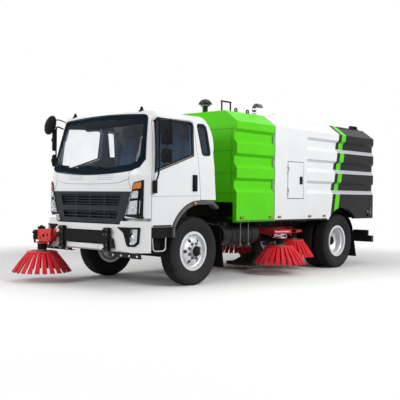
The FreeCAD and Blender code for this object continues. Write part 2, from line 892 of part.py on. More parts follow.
def module_shell():
    """The engine module: a hollow ribbed cover, open below, stepped up behind the cab."""
    y0, y1, wall = D.module_front, D.module_rear, D.body_wall
    outer = front_prism(y0, y1, body_outline(0, D.body_skirt_z))
    inner = front_prism(y0 + wall, y1 - wall, body_outline(wall, D.body_skirt_z - 5, D.body_roof))
    inside_x = D.body_half_width - wall
    step = block(-inside_x, inside_x, y0 - 5, y0 + wall + 5, D.body_skirt_z - 5, D.module_step_z)
    lip = D.panel_gap
    shell = without(outer, [inner, step, *rib_recesses(y0 + lip, y1 - lip)])
    seats = [
        block(s * inside_x, s * (inside_x - 30), y0 + wall + 40, y1 - wall - 40, D.rail_top + 24, D.rail_top + 60)
        for s in (1, -1)
    ]
    pipe_hole = rod(
        (D.exhaust_x, D.exhaust_y, D.body_ridge_z - 120),
        (D.exhaust_x, D.exhaust_y, D.body_ridge_z + 60),
        D.exhaust_radius,
    )
    return joined([shell, *seats]).cut(pipe_hole)


def hopper_shell():
    """The tipping hopper: ribbed walls, front wall, floor on two sills, wheel arches and hinge ears."""
    y0, y1, wall = D.hopper_front, D.hopper_rear, D.body_wall
    outer = front_prism(y0, y1, body_outline(0, D.body_skirt_z))
    floor_top = D.hopper_floor + D.hopper_floor_plate
    inner = front_prism(y0 + wall, y1 + 5, body_outline(wall, floor_top, D.body_roof))
    under = front_prism(
        y0 - 5, y1 + 5,
        [(D.body_half_width - wall, D.body_skirt_z - 5), (D.body_half_width - wall, D.hopper_floor),
         (wall - D.body_half_width, D.hopper_floor), (wall - D.body_half_width, D.body_skirt_z - 5)],
    )
    arch = wheel_arch(D.body_half_width + 5, D.arch_radius)
    low_space = block(
        -D.body_half_width - 5, D.body_half_width + 5, y0, y1, 0, D.hopper_floor,
    )
    recesses = rib_recesses(D.ribs_start, y1 - D.panel_gap)
    shell = without(outer, [inner, under, arch.common(low_space), *recesses])
    hatchway = block(
        D.body_half_width - wall - 5, D.body_half_width + 5, D.hatch_front, D.hatch_rear,
        D.hatch_bottom, D.hatch_top,
    )
    shell = shell.cut(hatchway)
    py, pz = D.tip_pivot_y, D.tip_pivot_z
    sill_line = [
        (y0 + 20, FLOOR_OF_BODY), (py - 10, FLOOR_OF_BODY), (py + 2, pz - 78.5), (py + 30, pz - 72.5),
        (y1, pz - 50), (y1, D.hopper_floor + 5), (y0 + 20, D.hopper_floor + 5),
    ]
    sills = [side_prism(s * D.sill_x, s * (D.sill_x + D.sill_width), sill_line) for s in (1, -1)]
    pin = (D.tip_pivot_y, D.tip_pivot_z)
    pin_hole = cross_rod(-D.body_half_width, D.body_half_width, *pin, D.tip_pin_radius + D.run_gap)
    ears = []
    for s in (1, -1):
        x0, x1 = s * (D.body_ridge_x - 150), s * (D.body_ridge_x - 90)
        ear = side_prism(
            x0, x1,
            [(y1 - 130, D.body_ridge_z - 20), (y1 - 110, D.gate_pivot_z + 26),
             (y1 + 40, D.gate_pivot_z + 26), (y1 + 40, D.gate_pivot_z - 26), (y1 + 2, D.body_ridge_z + 12),
             (y1 - 2, D.body_ridge_z - 20)],
        )
        ears.append(ear)
    ear_hole = cross_rod(
        -D.body_half_width, D.body_half_width, GATE_PIVOT_Y, D.gate_pivot_z, D.gate_pin_radius + D.run_gap,
    )
    hatch = block(300, D.body_ridge_x - 40, D.hopper_front + 230, D.hopper_front + 620,
                  D.body_ridge_z - 5, D.body_ridge_z + 46)
    hatch = hatch.makeChamfer(14, [e for e in hatch.Edges if abs(e.CenterOfMass.z - D.body_ridge_z - 46) < 1])
    shell = joined([shell, *sills]).cut(pin_hole).fuse([*ears, hatch]).cut(ear_hole)
    return shell.fuse(hatch_hinges()).removeSplitter()


def tailgate():
    """The top-hung rear door: a deep dished panel with hinge arms on its top edge."""
    y0 = D.hopper_rear + D.panel_gap
    y1 = y0 + D.tailgate_depth
    wall = D.tailgate_wall
    outer = front_prism(y0, y1, body_outline(0, D.body_skirt_z))
    edges = [e for e in outer.Edges if abs(e.BoundBox.YMin - along(y1)) < 1 and e.BoundBox.YLength < 1]
    outer = outer.makeChamfer(38, edges)
    inner = front_prism(y0 - 5, y1 - wall, body_outline(wall + 30, D.hopper_floor, wall + 20))
    arms = []
    for s in (1, -1):
        x0, x1 = s * (D.body_ridge_x - 89), s * (D.body_ridge_x - 60)
        arms.append(
            side_prism(
                x0, x1,
                [(y0 + 4, D.body_ridge_z - 25), (y0 - 14, D.gate_pivot_z - 20), (y0 - 14, D.gate_pivot_z + 20),
                 (y0 + 26, D.gate_pivot_z + 20), (y0 + 90, D.body_ridge_z - 25)],
            )
        )
        arms.append(
            cross_rod(s * (D.body_ridge_x - 148), s * (D.body_ridge_x - 62), GATE_PIVOT_Y,
                      D.gate_pivot_z, D.gate_pin_radius)
        )
    return joined([outer.cut(inner), *arms])


def access_door():
    """The flat maintenance door of the left wall, its handle lock and its two hinge barrels."""
    gap = D.panel_gap / 2
    x1 = D.body_half_width + 4
    panel = block(
        x1 - D.hatch_thickness, x1, D.hatch_front + gap, D.hatch_rear - gap, D.hatch_bottom + gap, D.hatch_top - gap,
    )
    panel = panel.makeFillet(3, [e for e in panel.Edges if abs(e.CenterOfMass.x - x1) < 1])
    middle = (D.hatch_bottom + D.hatch_top) / 2
    lock = block(x1 - 2, x1 + 14, D.hatch_rear - 110, D.hatch_rear - 55, middle - 55, middle + 55)
    x, y = D.hatch_pivot_x, D.hatch_pivot_y
    barrels = []
    for z in HATCH_HINGES:
        barrels.append(rod((x, y, z), (x, y, z + D.barrel_length), D.barrel_radius))
        barrels.append(block(x1 - 1, x, y - 2, y + 12, z, z + D.barrel_length))
    bore = rod((x, y, D.hatch_bottom), (x, y, D.hatch_top), D.hatch_pin_radius + D.run_gap)
    return joined([panel, lock, *barrels]).cut(bore)


def hatch_hinges():
    """The hopper's halves of the access door's hinges: brackets above and below each barrel, and pins."""
    x, y, r = D.hatch_pivot_x, D.hatch_pivot_y, D.barrel_radius
    pieces = []
    for z in HATCH_HINGES:
        for low in (z - 21, z + D.barrel_length + 1):
            pieces.append(block(D.body_half_width - 2, x + r, y - 42, y - 14, low, low + 20))
            pieces.append(block(x - r, x + r, y - 20, y, low, low + 20))
            pieces.append(rod((x, y, low), (x, y, low + 20), r))
        pieces.append(rod((x, y, z - 10), (x, y, z + D.barrel_length + 10), D.hatch_pin_radius))
    return pieces


GATE_PIVOT_Y = D.hopper_rear + 12
HATCH_HINGES = (D.hatch_bottom + 90, D.hatch_top - 160)

feature("module_shell", module_shell())
feature("hopper_shell", hopper_shell())
feature("tailgate", tailgate())
feature("access_door", access_door())

# Fittings on the module's roof


def exhaust_pipe():
    """An upright pipe through the module's shoulder with a swept elbow and a slash-cut mouth."""
    r = D.exhaust_radius - D.run_gap
    x, y = D.exhaust_x, along(D.exhaust_y)
    top = D.body_ridge_z + 165
    bend = 62
    straight = Part.LineSegment(V(x, y, D.body_ridge_z - 130), V(x, y, top - bend)).toShape()
    turn = Part.Arc(
        V(x, y, top - bend),
        V(x, y + bend * (1 - math.cos(math.pi / 4)), top - bend * (1 - math.sin(math.pi / 4))),
        V(x, y + bend, top),
    ).toShape()
    tail = Part.LineSegment(V(x, y + bend, top), V(x, y + bend + 150, top)).toShape()
    path = Part.Wire([straight, turn, tail])
    outer = Part.Wire(Part.makeCircle(r, V(x, y, D.body_ridge_z - 130), V(0, 0, 1)))
    bore = Part.Wire(Part.makeCircle(r - 3, V(x, y, D.body_ridge_z - 130), V(0, 0, 1)))
    pipe = path.makePipeShell([outer], True, False).cut(path.makePipeShell([bore], True, False))
    slash = Part.makeBox(200, 200, 200, V(-100, 0, -100))
    slash.Placement = FreeCAD.Placement(
        V(x, y + bend + 118, top), FreeCAD.Rotation(V(1, 0, 0), 35),
    )
    return pipe.cut(slash)


def roof_fittings():
    """The mushroom intake cap, the grab rail and the lifting eyes, each standing on the roof."""
    roof = D.body_ridge_z
    cap_y = D.module_front + 200
    x = D.cap_x
    stem = rod((x, cap_y, roof), (x, cap_y, roof + 170), 42)
    neck = Part.makeCone(60, 42, 30, V(x, along(cap_y), roof), V(0, 0, 1))
    dome = Part.makeCone(104, 62, 44, V(x, along(cap_y), roof + 176), V(0, 0, 1))
    brim = rod((x, cap_y, roof + 150), (x, cap_y, roof + 176), 104)
    crown = Part.makeCone(62, 20, 14, V(x, along(cap_y), roof + 220), V(0, 0, 1))
    cap = joined([stem, neck, brim, dome, crown])
    rail_y = D.module_front + 120
    height, reach = 165, 210
    legs = [rod((D.grip_x, rail_y + d, roof), (D.grip_x, rail_y + d, roof + height), 13) for d in (0, reach)]
    top = rod((D.grip_x, rail_y - 13, roof + height), (D.grip_x, rail_y + reach + 13, roof + height), 13)
    grip = joined([*legs, top])
    eyes = []
    for s in (1, -1):
        for y in (D.module_front + 330, D.module_rear - 330):
            eyes.append(lifting_eye(s * D.eye_x, y, roof))
    return apart([cap, grip, *eyes])


def lifting_eye(x, y, z):
    """A plate with a round eye, standing on the roof along the vehicle."""
    radius, half = 34, 7
    plate = cross_rod(x - half, x + half, y, z + 38, radius)
    foot = block(x - half, x + half, y - radius, y + radius, z, z + 38)
    return joined([plate, foot]).cut(cross_rod(x - 20, x + 20, y, z + 38, D.eye_bore_radius))


feature("exhaust_pipe", exhaust_pipe())
feature("roof_fittings", roof_fittings())

# Guards, lamps and supports on the frame


def subframe():
    """Cross bearers under the module, the tipping hinge, and the brackets of the side brush arms."""
    inside_x = D.body_half_width - D.body_wall
    bearers = [
        block(-inside_x + 1, inside_x - 1, y, y + 80, D.rail_top, D.rail_top + 24)
        for y in (D.module_front + D.body_wall + 60, D.module_rear - D.body_wall - 140)
    ]
    pin = cross_rod(-D.rail_outer_x - 60, D.rail_outer_x + 60, D.tip_pivot_y, D.tip_pivot_z, D.tip_pin_radius)
    hinge_plates = []
    brackets = []
    for s in (1, -1):
        x0 = D.sill_x + D.sill_width + D.panel_gap
        py, pz = D.tip_pivot_y, D.tip_pivot_z
        lug = side_prism(
            s * x0, s * (x0 + 26),
            [(py - 160, RAIL_BOTTOM + 40), (py - 45, pz + 8), (py - 20, pz + 40), (py + 20, pz + 40),
             (py + 45, pz + 5), (py + 32, pz - 30), (py - 12, pz - 75), (py - 12, pz - 85),
             (py + 18, pz - 115), (py + 18, RAIL_BOTTOM + 40)],
        )
        web = block(s * D.rail_outer_x, s * (x0 + 26), D.rail_rear - 150, py - 12,
                    RAIL_BOTTOM + 40, D.rail_top - 20)
        hinge_plates += [lug, web]
        for y in (D.arm_bearing_front, D.arm_bearing_rear):
            bracket = block(
                s * D.rail_outer_x, s * (D.arm_pivot_x + 30), y - 20, y + 20, D.arm_pivot_z - 34, D.arm_pivot_z + 60,
            )
            bore = rod((s * D.arm_pivot_x, y - 30, D.arm_pivot_z), (s * D.arm_pivot_x, y + 30, D.arm_pivot_z),
                       D.arm_pin_radius + D.run_gap)
            brackets.append(bracket.cut(bore))
    hinge = joined([pin, *hinge_plates])
    return apart([*bearers, hinge, *brackets, *cab_brackets()])


def cab_brackets():
    """The cab's tilt brackets on the frame's front ends, each with its pin."""
    y, z, r = D.cab_pivot_y, D.cab_pivot_z, D.cab_pivot_radius
    pieces = []
    for s in (1, -1):
        plate = side_prism(
            s * 390, s * 418,
            [(y + 8, D.rail_top), (y + 74, D.rail_top), (y + 20, z + 14), (y, z + 10), (y - 8, z - 10)],
        )
        boss = cross_rod(s * 390, s * 418, y, z, r - 3)
        pin = cross_rod(s * 338, s * 418, y, z, D.cab_pin_radius)
        pieces.append(joined([plate, boss, pin]))
    return pieces


def rear_guard():
    """The underrun bar across the tail, its two hangers and the towing eye plate."""
    bar = block(-D.guard_half_length, D.guard_half_length, D.guard_front, D.guard_rear, D.guard_bottom, D.guard_top)
    long_edges = [e for e in bar.Edges if e.Length > D.guard_half_length]
    bar = bar.makeFillet(18, long_edges)
    hangers = []
    for s in (1, -1):
        x0, x1 = s * D.rail_outer_x, s * (D.rail_outer_x + 14)
        hangers.append(
            side_prism(
                x0, x1,
                [(D.rail_rear - 420, RAIL_BOTTOM + 30), (D.rail_rear - 260, RAIL_BOTTOM + 110),
                 (D.rail_rear - 210, RAIL_BOTTOM + 30), (D.guard_front + 10, D.guard_top - 10),
                 (D.guard_front + 10, D.guard_bottom + 20), (D.rail_rear - 260, RAIL_BOTTOM - 40)],
            )
        )
    plate = block(
        -160, 160, D.guard_rear, D.guard_rear + D.tow_plate, D.guard_bottom - 20, D.guard_top + 20,
    )
    middle = (D.guard_bottom + D.guard_top) / 2
    holes = [
        rod((x, D.guard_front - 20, z), (x, D.guard_rear + D.tow_plate + 5, z), D.tow_hole_radius)
        for x in (-D.tow_spacing_x / 2, D.tow_spacing_x / 2)
        for z in (middle - D.tow_spacing_z / 2, middle + D.tow_spacing_z / 2)
    ]
    return without(joined([bar, *hangers, plate]), holes)


def lamps():
    """The rear lamp clusters on the underrun bar and the fog lamps in the front bumper."""
    pieces = []
    for s in (1, -1):
        cluster = block(s * 640, s * 960, D.guard_front + 12, D.guard_rear - 22, D.guard_top, D.guard_top + 104)
        edges = [e for e in cluster.Edges if e.BoundBox.YLength > 30]
        pieces.append(cluster.makeFillet(16, edges))
    return apart(pieces + fog_lamps())


def mudguards():
    """Front flaps behind the wheels, arched guards over the twin wheels with flaps, and the cab steps."""
    pieces = []
    for s in (1, -1):
        x0, x1 = s * (D.front_tyre_x - 118), s * (D.front_tyre_x + 122)
        flap = side_prism(x0, x1, [(528, 848), (536, 848), (636, 212), (628, 212)])
        stay = block(s * D.rail_outer_x, s * (D.front_tyre_x + 60), 534, 562, 800, 828)
        pieces.append(joined([flap, stay]))
        inner_x = s * (D.rear_outer_x - D.dual_spacing - 122)
        outer_x = s * (D.rear_outer_x + 120)
        skin = cross_rod(inner_x, outer_x, D.wheelbase, AXLE_Z, D.guard_arc_radius)
        skin = skin.cut(cross_rod(inner_x - 5, outer_x + 5, D.wheelbase, AXLE_Z, D.guard_arc_radius - 5))
        keep = block(inner_x - 5, outer_x + 5, D.wheelbase - 380, D.wheelbase + 700, AXLE_Z + 250, 1100)
        arc = skin.common(keep)
        y_end = D.wheelbase + math.sqrt(D.guard_arc_radius**2 - 250**2)
        flap = side_prism(
            inner_x, outer_x,
            [(y_end - 7, AXLE_Z + 252), (y_end, AXLE_Z + 252), (y_end + 155, 175), (y_end + 148, 175)],
        )
        stay = rod((s * D.rail_outer_x, y_end + 10, AXLE_Z + 240), (outer_x - s * 60, y_end + 10, AXLE_Z + 240), 14)
        pieces.append(joined([arc, flap, stay]))
        housing = block(s * 640, s * (D.cab_half_width - 12), -896, -560, 700, 834)
        bracket = block(s * D.rail_outer_x, s * 650, -800, -740, 730, 800)
        tread = rod((s * (D.cab_half_width - 90), -850, D.step_z), (s * (D.cab_half_width - 90), -610, D.step_z), 15)
        legs = [
            rod((s * (D.cab_half_width - 90), y, D.step_z), (s * (D.cab_half_width - 60), y + d, 710), 13)
            for y, d in ((-850, -20), (-610, 18))
        ]
        pieces.append(joined([housing, bracket, tread, *legs]))
    return apart(pieces)


feature("subframe", subframe())
feature("rear_guard", rear_guard())
feature("mudguards", mudguards())

# Cab form


def cab_plan(side_inset, front_inset, z):
    """The cab's outline from above: straight sides, rounded corners and a bowed front."""
    side = D.cab_half_width - side_inset
    corner_x = D.cab_corner_x - 0.4 * side_inset
    corner_y = D.cab_corner_y + front_inset
    front = D.cab_front + front_inset
    half = math.sqrt(0.5)
    bend_x = corner_x + half * (side - corner_x)
    bend_y = D.cab_side_front + half * (corner_y - D.cab_side_front)
    back = D.cab_rear + 200
    steps = [
        (side, back), (side, D.cab_side_front), [bend_x, bend_y], (corner_x, corner_y), [0, front],
        (-corner_x, corner_y), [-bend_x, bend_y], (-side, D.cab_side_front), (-side, back),
    ]
    return Part.Face(outline_wire(steps, lambda x, y: V(x, along(y), z)))


def cab_solid(inset, low, roof_inset=None):
    """The cab's whole form, drawn in by an inset: upright below, raked above, with a crowned roof."""
    rise = D.cab_roof_z + 60 - D.cab_break_z
    lower = cab_plan(inset, inset, low).extrude(V(0, 0, D.cab_break_z - low))
    upper = cab_plan(inset, inset, D.cab_break_z).extrude(V(0, D.cab_rake * rise, rise))
    roof = D.cab_roof_z - (inset if roof_inset is None else roof_inset)
    rear = D.cab_rear - inset
    lean = D.cab_rear - D.cab_rear_top
    side_steps = [
        (-1400, low - 5), (-1400, roof - 90), (D.roof_front_y, roof - 90), [D.roof_front_y + 70, roof - 36],
        (D.roof_front_y + 200, roof - 8), [-300, roof + 4], (rear - lean, roof - 14),
        [rear - 0.42 * lean, roof - 150], (rear - 50, 1885), (rear, 1230), (rear, low - 5),
    ]
    side = Part.Face(outline_wire(side_steps, lambda y, z: V(-1300, along(y), z))).extrude(V(2600, 0, 0))
    half = D.cab_half_width - inset
    front_steps = [
        (half, low - 5), (half, 1700), (half - 56, roof - 116), [half - 80, roof - 58], (half - 160, roof - 30),
        [0, roof], (160 - half, roof - 30), [80 - half, roof - 58], (56 - half, roof - 116),
        (-half, 1700), (-half, low - 5),
    ]
    front = Part.Face(outline_wire(front_steps, lambda x, z: V(x, along(-1400), z))).extrude(V(0, 2400, 0))
    return lower.fuse(upper).common(side).common(front).removeSplitter()


def side_wire(steps, grow=0.0):
    """An outline in the side view at the vehicle's middle, grown or drawn in by a margin."""
    wire = outline_wire(steps, lambda y, z: V(0, along(y), z))
    return wire.makeOffset2D(grow) if grow else wire


def side_cutter(steps, grow=0.0):
    """A side-view outline run from inside the left wall out past it."""
    face = Part.Face(side_wire(steps, grow))
    return face.extrude(V(500, 0, 0)).translated(V(850, 0, 0))


def front_cutter(steps, grow=0.0):
    """A front-view outline run through the front wall."""
    wire = outline_wire(steps, lambda x, z: V(x, along(-1500), z))
    face = Part.Face(wire.makeOffset2D(grow) if grow else wire)
    return face.extrude(V(0, 850, 0))


DOOR = [
    (D.door_front, D.door_bottom), (D.door_front, 1560), (D.door_front + 72, D.door_top - 90),
    [D.door_front + 96, D.door_top - 22], (D.door_front + 160, D.door_top), (-115, D.door_top + 6),
    [-62, D.door_top - 16], (-46, D.door_top - 66), (D.door_rear, 1330), (D.door_rear, D.arch_top_z),
    [-310, 1095], (D.cab_step_wall_y, D.door_bottom),
]
DOOR_WINDOW = [
    (-842, 1592), (-800, 2225), [-786, 2278], (-738, 2298), (-126, 2298), [-84, 2284], (-70, 2240),
    (-92, 1838),
]
QUARTER_WINDOW = [
    (60, 2285), (165, 2285), [205, 2262], (218, 2215), (268, 1895), [258, 1868], (228, 1860),
    (142, 1860), [116, 1872], (108, 1898), (36, 2258), [40, 2278],
]
WINDSCREEN = [
    (800, 1606), [912, 1650], (958, 1748), (880, 2300), [862, 2338], (820, 2354), [0, 2386],
    (-820, 2354), [-862, 2338], (-880, 2300), (-958, 1748), [-912, 1650], (-800, 1606), [0, 1556],
]
GRILLE = [
    (D.grille_bottom_x, D.grille_bottom_z), (D.grille_top_x, D.grille_top_z),
    (-D.grille_top_x, D.grille_top_z), (-D.grille_bottom_x, D.grille_bottom_z),
]
HEADLAMP = [
    (D.grille_bottom_x + 50, 992), (D.headlamp_outer_x - 6, 992), (D.headlamp_outer_x, D.headlamp_top_z),
    (D.grille_top_x + 42, D.headlamp_top_z - 34), (D.grille_top_x + 12, D.grille_top_z + 20),
]
FOG_LAMP = [(640, 838), (908, 838), (898, 640), [860, 606], (806, 602), (742, 770)]


def band(outer_inset, inner_inset, low):
    """The layer of the cab between two insets."""
    return cab_solid(outer_inset, low).cut(cab_solid(inner_inset, low - 10))


WALL_BAND = band(0, D.cab_wall, D.cab_skirt_z)
GLASS_BAND = band(D.glass_depth, D.glass_depth + D.glass_thickness, D.cab_skirt_z)


def cab_shell():
    """The cab's sheet-metal body: walls, roof, floor, step wall, seat platform and tilt lugs."""
    left_cuts = [side_cutter(DOOR, D.panel_gap / 2), side_cutter(QUARTER_WINDOW)]
    cuts = left_cuts + [mirrored(cut) for cut in left_cuts]
    arch = block(-1200, 1200, D.cab_step_wall_y, D.cab_rear + 50, 700, D.cab_platform_z)
    grille_hole = front_cutter(GRILLE, D.seat_gap).common(block(-1200, 1200, -1400, -1000, 800, 1600))
    lamp_hole = front_cutter(HEADLAMP, D.seat_gap)
    holes = [*cuts, arch, front_cutter(WINDSCREEN), grille_hole, lamp_hole, mirrored(lamp_hole)]
    shell = without(WALL_BAND, holes)
    plate = D.cab_floor_plate
    inner_x = D.cab_half_width - D.door_thickness - D.panel_gap - 4
    footwell = cab_plan(D.cab_wall, D.cab_wall, D.cab_floor_z).extrude(V(0, 0, plate))
    toe = cab_plan(D.cab_wall - 1, D.cab_wall - 1, D.cab_floor_z).extrude(V(0, 0, 110))
    toe = toe.cut(cab_plan(D.cab_wall + plate, D.cab_wall + plate, D.cab_floor_z).extrude(V(0, 0, 110)))
    front_zone = block(-inner_x, inner_x, -1400, D.cab_step_wall_y + plate, 800, 1300)
    toe_zone = block(-inner_x, inner_x, -1400, -900, 800, 1300)
    step_wall = block(
        -inner_x, inner_x, D.cab_step_wall_y, D.cab_step_wall_y + plate, D.cab_floor_z, D.cab_platform_z + plate,
    )
    rear_in = D.cab_rear - D.cab_wall + 2
    platform = block(-inner_x, inner_x, D.cab_step_wall_y, rear_in, D.cab_platform_z, D.cab_platform_z + plate)
    wings = block(
        -D.cab_half_width + 20, D.cab_half_width - 20, D.door_rear + D.panel_gap, rear_in,
        D.cab_platform_z, D.cab_platform_z + plate,
    )
    notches = [
        block(s * 330, s * 480, -1200, -950, D.cab_floor_z - 5, D.cab_skirt_z) for s in (1, -1)
    ]
    floor = joined([footwell.common(front_zone), toe.common(toe_zone), step_wall, platform, wings])
    door_layer = band(0, D.door_thickness + D.panel_gap, D.door_bottom - 20)
    door_room = door_layer.common(side_cutter(DOOR, D.panel_gap))
    floor = without(floor, [*notches, door_room, mirrored(door_room)])
    lugs = []
    for s in (1, -1):
        x0, x1 = s * 345, s * 385
        eye = cross_rod(x0, x1, D.cab_pivot_y, D.cab_pivot_z, D.cab_pivot_radius)
        stem = block(
            x0, x1, D.cab_pivot_y - 22, D.cab_pivot_y + D.cab_pivot_radius, D.cab_pivot_z, D.cab_skirt_z + 40,
        )
        lugs += [eye, stem]
    bore = cross_rod(-500, 500, D.cab_pivot_y, D.cab_pivot_z, D.cab_pin_radius + D.run_gap)
    return joined([shell, floor, *lugs]).cut(bore)


def cab_glass():
    """The windscreen and the two fixed quarter windows, set back in their openings."""
    screen = GLASS_BAND.common(front_cutter(WINDSCREEN, -D.seat_gap))
    quarter = GLASS_BAND.common(side_cutter(QUARTER_WINDOW, -D.seat_gap))
    return apart([screen, quarter, mirrored(quarter)])


def grille():
    """The tapered front panel with its two slatted air openings."""
    skin = band(-D.grille_proud, D.grille_depth - D.grille_proud, D.grille_bottom_z - 10)
    panel = skin.common(front_cutter(GRILLE))
    slots = []
    bars = []
    for top, bottom, half_top, half_bottom in ((1274, 1128, 640, 600), (1052, 954, 590, 560)):
        hole = [(half_top, top), (half_bottom, bottom), (-half_bottom, bottom), (-half_top, top)]
        slots.append(front_cutter(hole))
        count = int((top - bottom) / D.slat_pitch)
        for n in range(count):
            z = bottom + (n + 0.75) * (top - bottom) / count
            bars.append(block(-700, 700, -1200, -1040, z - D.slat_height, z))
        bars += [block(x - 9, x + 9, -1200, -1040, bottom, top) for x in (-300, 0, 300)]
    slats = band(4, D.grille_depth - D.grille_proud - 2, D.grille_bottom_z - 10)
    slats = slats.common(joined(slots)).common(joined(bars))
    return without(panel, slots).fuse(slats).removeSplitter()


def headlamps():
    """The tall lamp units beside the grille, wrapped round the cab's corners."""
    unit = band(-8, 26, D.cab_skirt_z).common(front_cutter(HEADLAMP))
    return both_sides(unit)


def door():
    """The left door: a panel as thick as the door, its window cut, with a pull handle."""
    inside = cab_solid(D.door_thickness, D.door_bottom - 10, 0)
    panel = cab_solid(0, D.door_bottom).cut(inside).common(side_cutter(DOOR, -D.panel_gap / 2))
    panel = panel.cut(side_cutter(DOOR_WINDOW))
    grip = block(
        D.cab_half_width - 1, D.cab_half_width + 20, D.door_rear - 168, D.door_rear - 88, 1340, 1560,
    )
    grip = grip.makeFillet(9, [e for e in grip.Edges if abs(e.CenterOfMass.x - D.cab_half_width - 20) < 1])
    return panel.fuse(grip).removeSplitter()


def door_glass():
    return GLASS_BAND.common(side_cutter(DOOR_WINDOW, -D.seat_gap))


def mirror_head(x, y, z0, z1, half_width, depth):
    """A rounded mirror housing, facing rearwards."""
    housing = block(x - half_width, x + half_width, y - depth / 2, y + depth / 2, z0, z1)
    front = [e for e in housing.Edges if e.BoundBox.ZLength > 50 and e.CenterOfMass.y < along(y)]
    housing = housing.makeFillet(depth * 0.45, front)
    return housing


def mirrors(round_head):
    """The left door's mirror set: bracket, tube arms, main and wide-angle heads."""
    side_x = D.cab_half_width
    tube_x = D.mirror_x - 105
    y = -868
    bracket = block(side_x, side_x + 42, -902, -838, 1298, 1470)
    bracket = bracket.makeFillet(12, [e for e in bracket.Edges if abs(e.CenterOfMass.x - side_x - 42) < 1])
    r = D.mirror_tube
    low = (side_x + 30, y, 1440)
    knee = (tube_x, y, 1560)
    high = (tube_x, y, D.mirror_top_z + 40)
    root = (side_x - 52, y + 40, D.mirror_top_z - 20)
    tubes = [rod(low, knee, r), rod(knee, high, r), rod(high, root, r)]
    tubes += [Part.makeSphere(r, V(p[0], along(p[1]), p[2])) for p in (knee, high)]
    heads = [
        mirror_head(D.mirror_x, y + 10, D.mirror_top_z - 340, D.mirror_top_z, 106, 76),
        mirror_head(D.mirror_x - 8, y + 10, 1700, 1880, 100, 76),
    ]
    pieces = [bracket, *tubes, *heads]
    if round_head:
        reach = rod(high, (D.mirror_x + 10, y - 50, D.mirror_top_z + 62), r)
        disc = rod((D.mirror_x + 10, y - 72, D.mirror_top_z + 62), (D.mirror_x + 10, y - 36, D.mirror_top_z + 62), 82)
        pieces += [reach, disc]
    return joined(pieces)


def flares():
    """The arched wheel lips under the doors' rear edges."""
    outer = [(D.door_rear, D.arch_top_z - 8), [-304, 1088], (-511, 842), (-511, 700)]
    inner = [(-468, 700), (-468, 830), [-268, 1052], (D.door_rear, D.arch_top_z - 56)]
    tail = [(300, D.arch_top_z - 56), (424, 1080), (448, 1110), (330, D.arch_top_z - 8)]
    steps = outer + inner + tail
    face = Part.Face(outline_wire(steps, lambda y, z: V(D.cab_half_width - 78, along(y), z)))
    lip = face.extrude(V(78 + D.flare_proud, 0, 0))
    lip = lip.makeChamfer(10, [e for e in lip.Edges if e.BoundBox.XMin > D.cab_half_width + D.flare_proud - 1])
    tie = block(
        D.cab_half_width - 200, D.cab_half_width - 30, 80, 200, D.arch_top_z - 12, D.cab_platform_z,
    )
    return both_sides(joined([lip, tie]))


def cab_interior():
    """Dashboard, steering wheel on the right-hand side, two seats and an engine-side bench."""
    steps = [(-1020, 1330), (-1020, 1520), [-960, 1560], (-860, 1548), (-700, 1500), [-668, 1450], (-700, 1390),
             (-800, 1300)]
    half = 930
    dash = Part.Face(outline_wire(steps, lambda y, z: V(-half, along(y), z))).extrude(V(2 * half, 0, 0))
    leg = block(-160, 160, -1004, -840, D.cab_floor_z + D.cab_floor_plate, 1400)
    dash = dash.fuse(leg).common(cab_solid(D.cab_wall + D.seat_gap, D.cab_floor_z))
    wheel_x = -D.driver_x
    hub = V(wheel_x, along(-640), 1600)
    tilt = FreeCAD.Rotation(V(1, 0, 0), -32)
    ring = Part.makeTorus(215, 14)
    spokes = [Part.makeBox(400, 34, 12, V(-200, -17, -8)), Part.makeBox(34, 200, 12, V(-17, -200, -8))]
    boss = Part.makeCylinder(62, 36, V(0, 0, -22))
    column = Part.makeCylinder(36, 330, V(0, 0, -330))
    wheel = ring.fuse([*spokes, boss, column])
    wheel.Placement = FreeCAD.Placement(hub, tilt)
    seats = [seat(x) for x in (-D.driver_x, D.driver_x)]
    middle = block(-150, 150, -380, 60, D.cab_platform_z + D.cab_floor_plate, 1460)
    middle = middle.makeFillet(25, [e for e in middle.Edges if abs(e.CenterOfMass.z - 1460) < 1])
    return apart([dash.fuse(wheel).removeSplitter(), *seats, middle])


def seat(x):
    """A seat with a boxed base, cushion, raked back and head rest."""
    base_z = D.cab_platform_z + D.cab_floor_plate
    base = block(x - 200, x + 200, -420, 40, base_z, base_z + 130)
    steps = [(-470, base_z + 130), (-490, base_z + 190), [-470, base_z + 236], (-410, base_z + 246),
             (-20, base_z + 226), (95, base_z + 800), (150, base_z + 820), (190, base_z + 790), (90, base_z + 130)]
    cushion = Part.Face(outline_wire(steps, lambda y, z: V(x - 235, along(y), z))).extrude(V(470, 0, 0))
    rest = block(x - 120, x + 120, 108, 178, base_z + 800, base_z + 985)
    rest = rest.makeFillet(22, [e for e in rest.Edges if e.BoundBox.YLength > 50])
    return joined([base, cushion, rest])


feature("cab_shell", cab_shell())
feature("cab_glass", cab_glass())
feature("grille", grille())
feature("headlamps", headlamps())
feature("cab_interior", cab_interior())
feature("fender_flares", flares())
for side, word in ((1, "left"), (-1, "right")):
    flip = mirrored if side < 0 else (lambda shape: shape)
    feature(f"door_{word}", flip(door()))
    feature(f"door_glass_{word}", flip(door_glass()))
    feature(f"mirrors_{word}", flip(mirrors(side < 0)))

# Front bumper and brush carrier


def bumper_layer(side_out, front_out, side_in, front_in, low, high):
    """A wrap-round band in front of the cab between two plan outlines."""
    outer = cab_plan(side_out, front_out, low).extrude(V(0, 0, high - low))
    inner = cab_plan(side_in, front_in, low - 5).extrude(V(0, 0, high - low + 10))
    zone = block(-1300, 1300, -1400, D.bumper_end_y, low - 5, high + 5)
    return outer.cut(inner).common(zone)


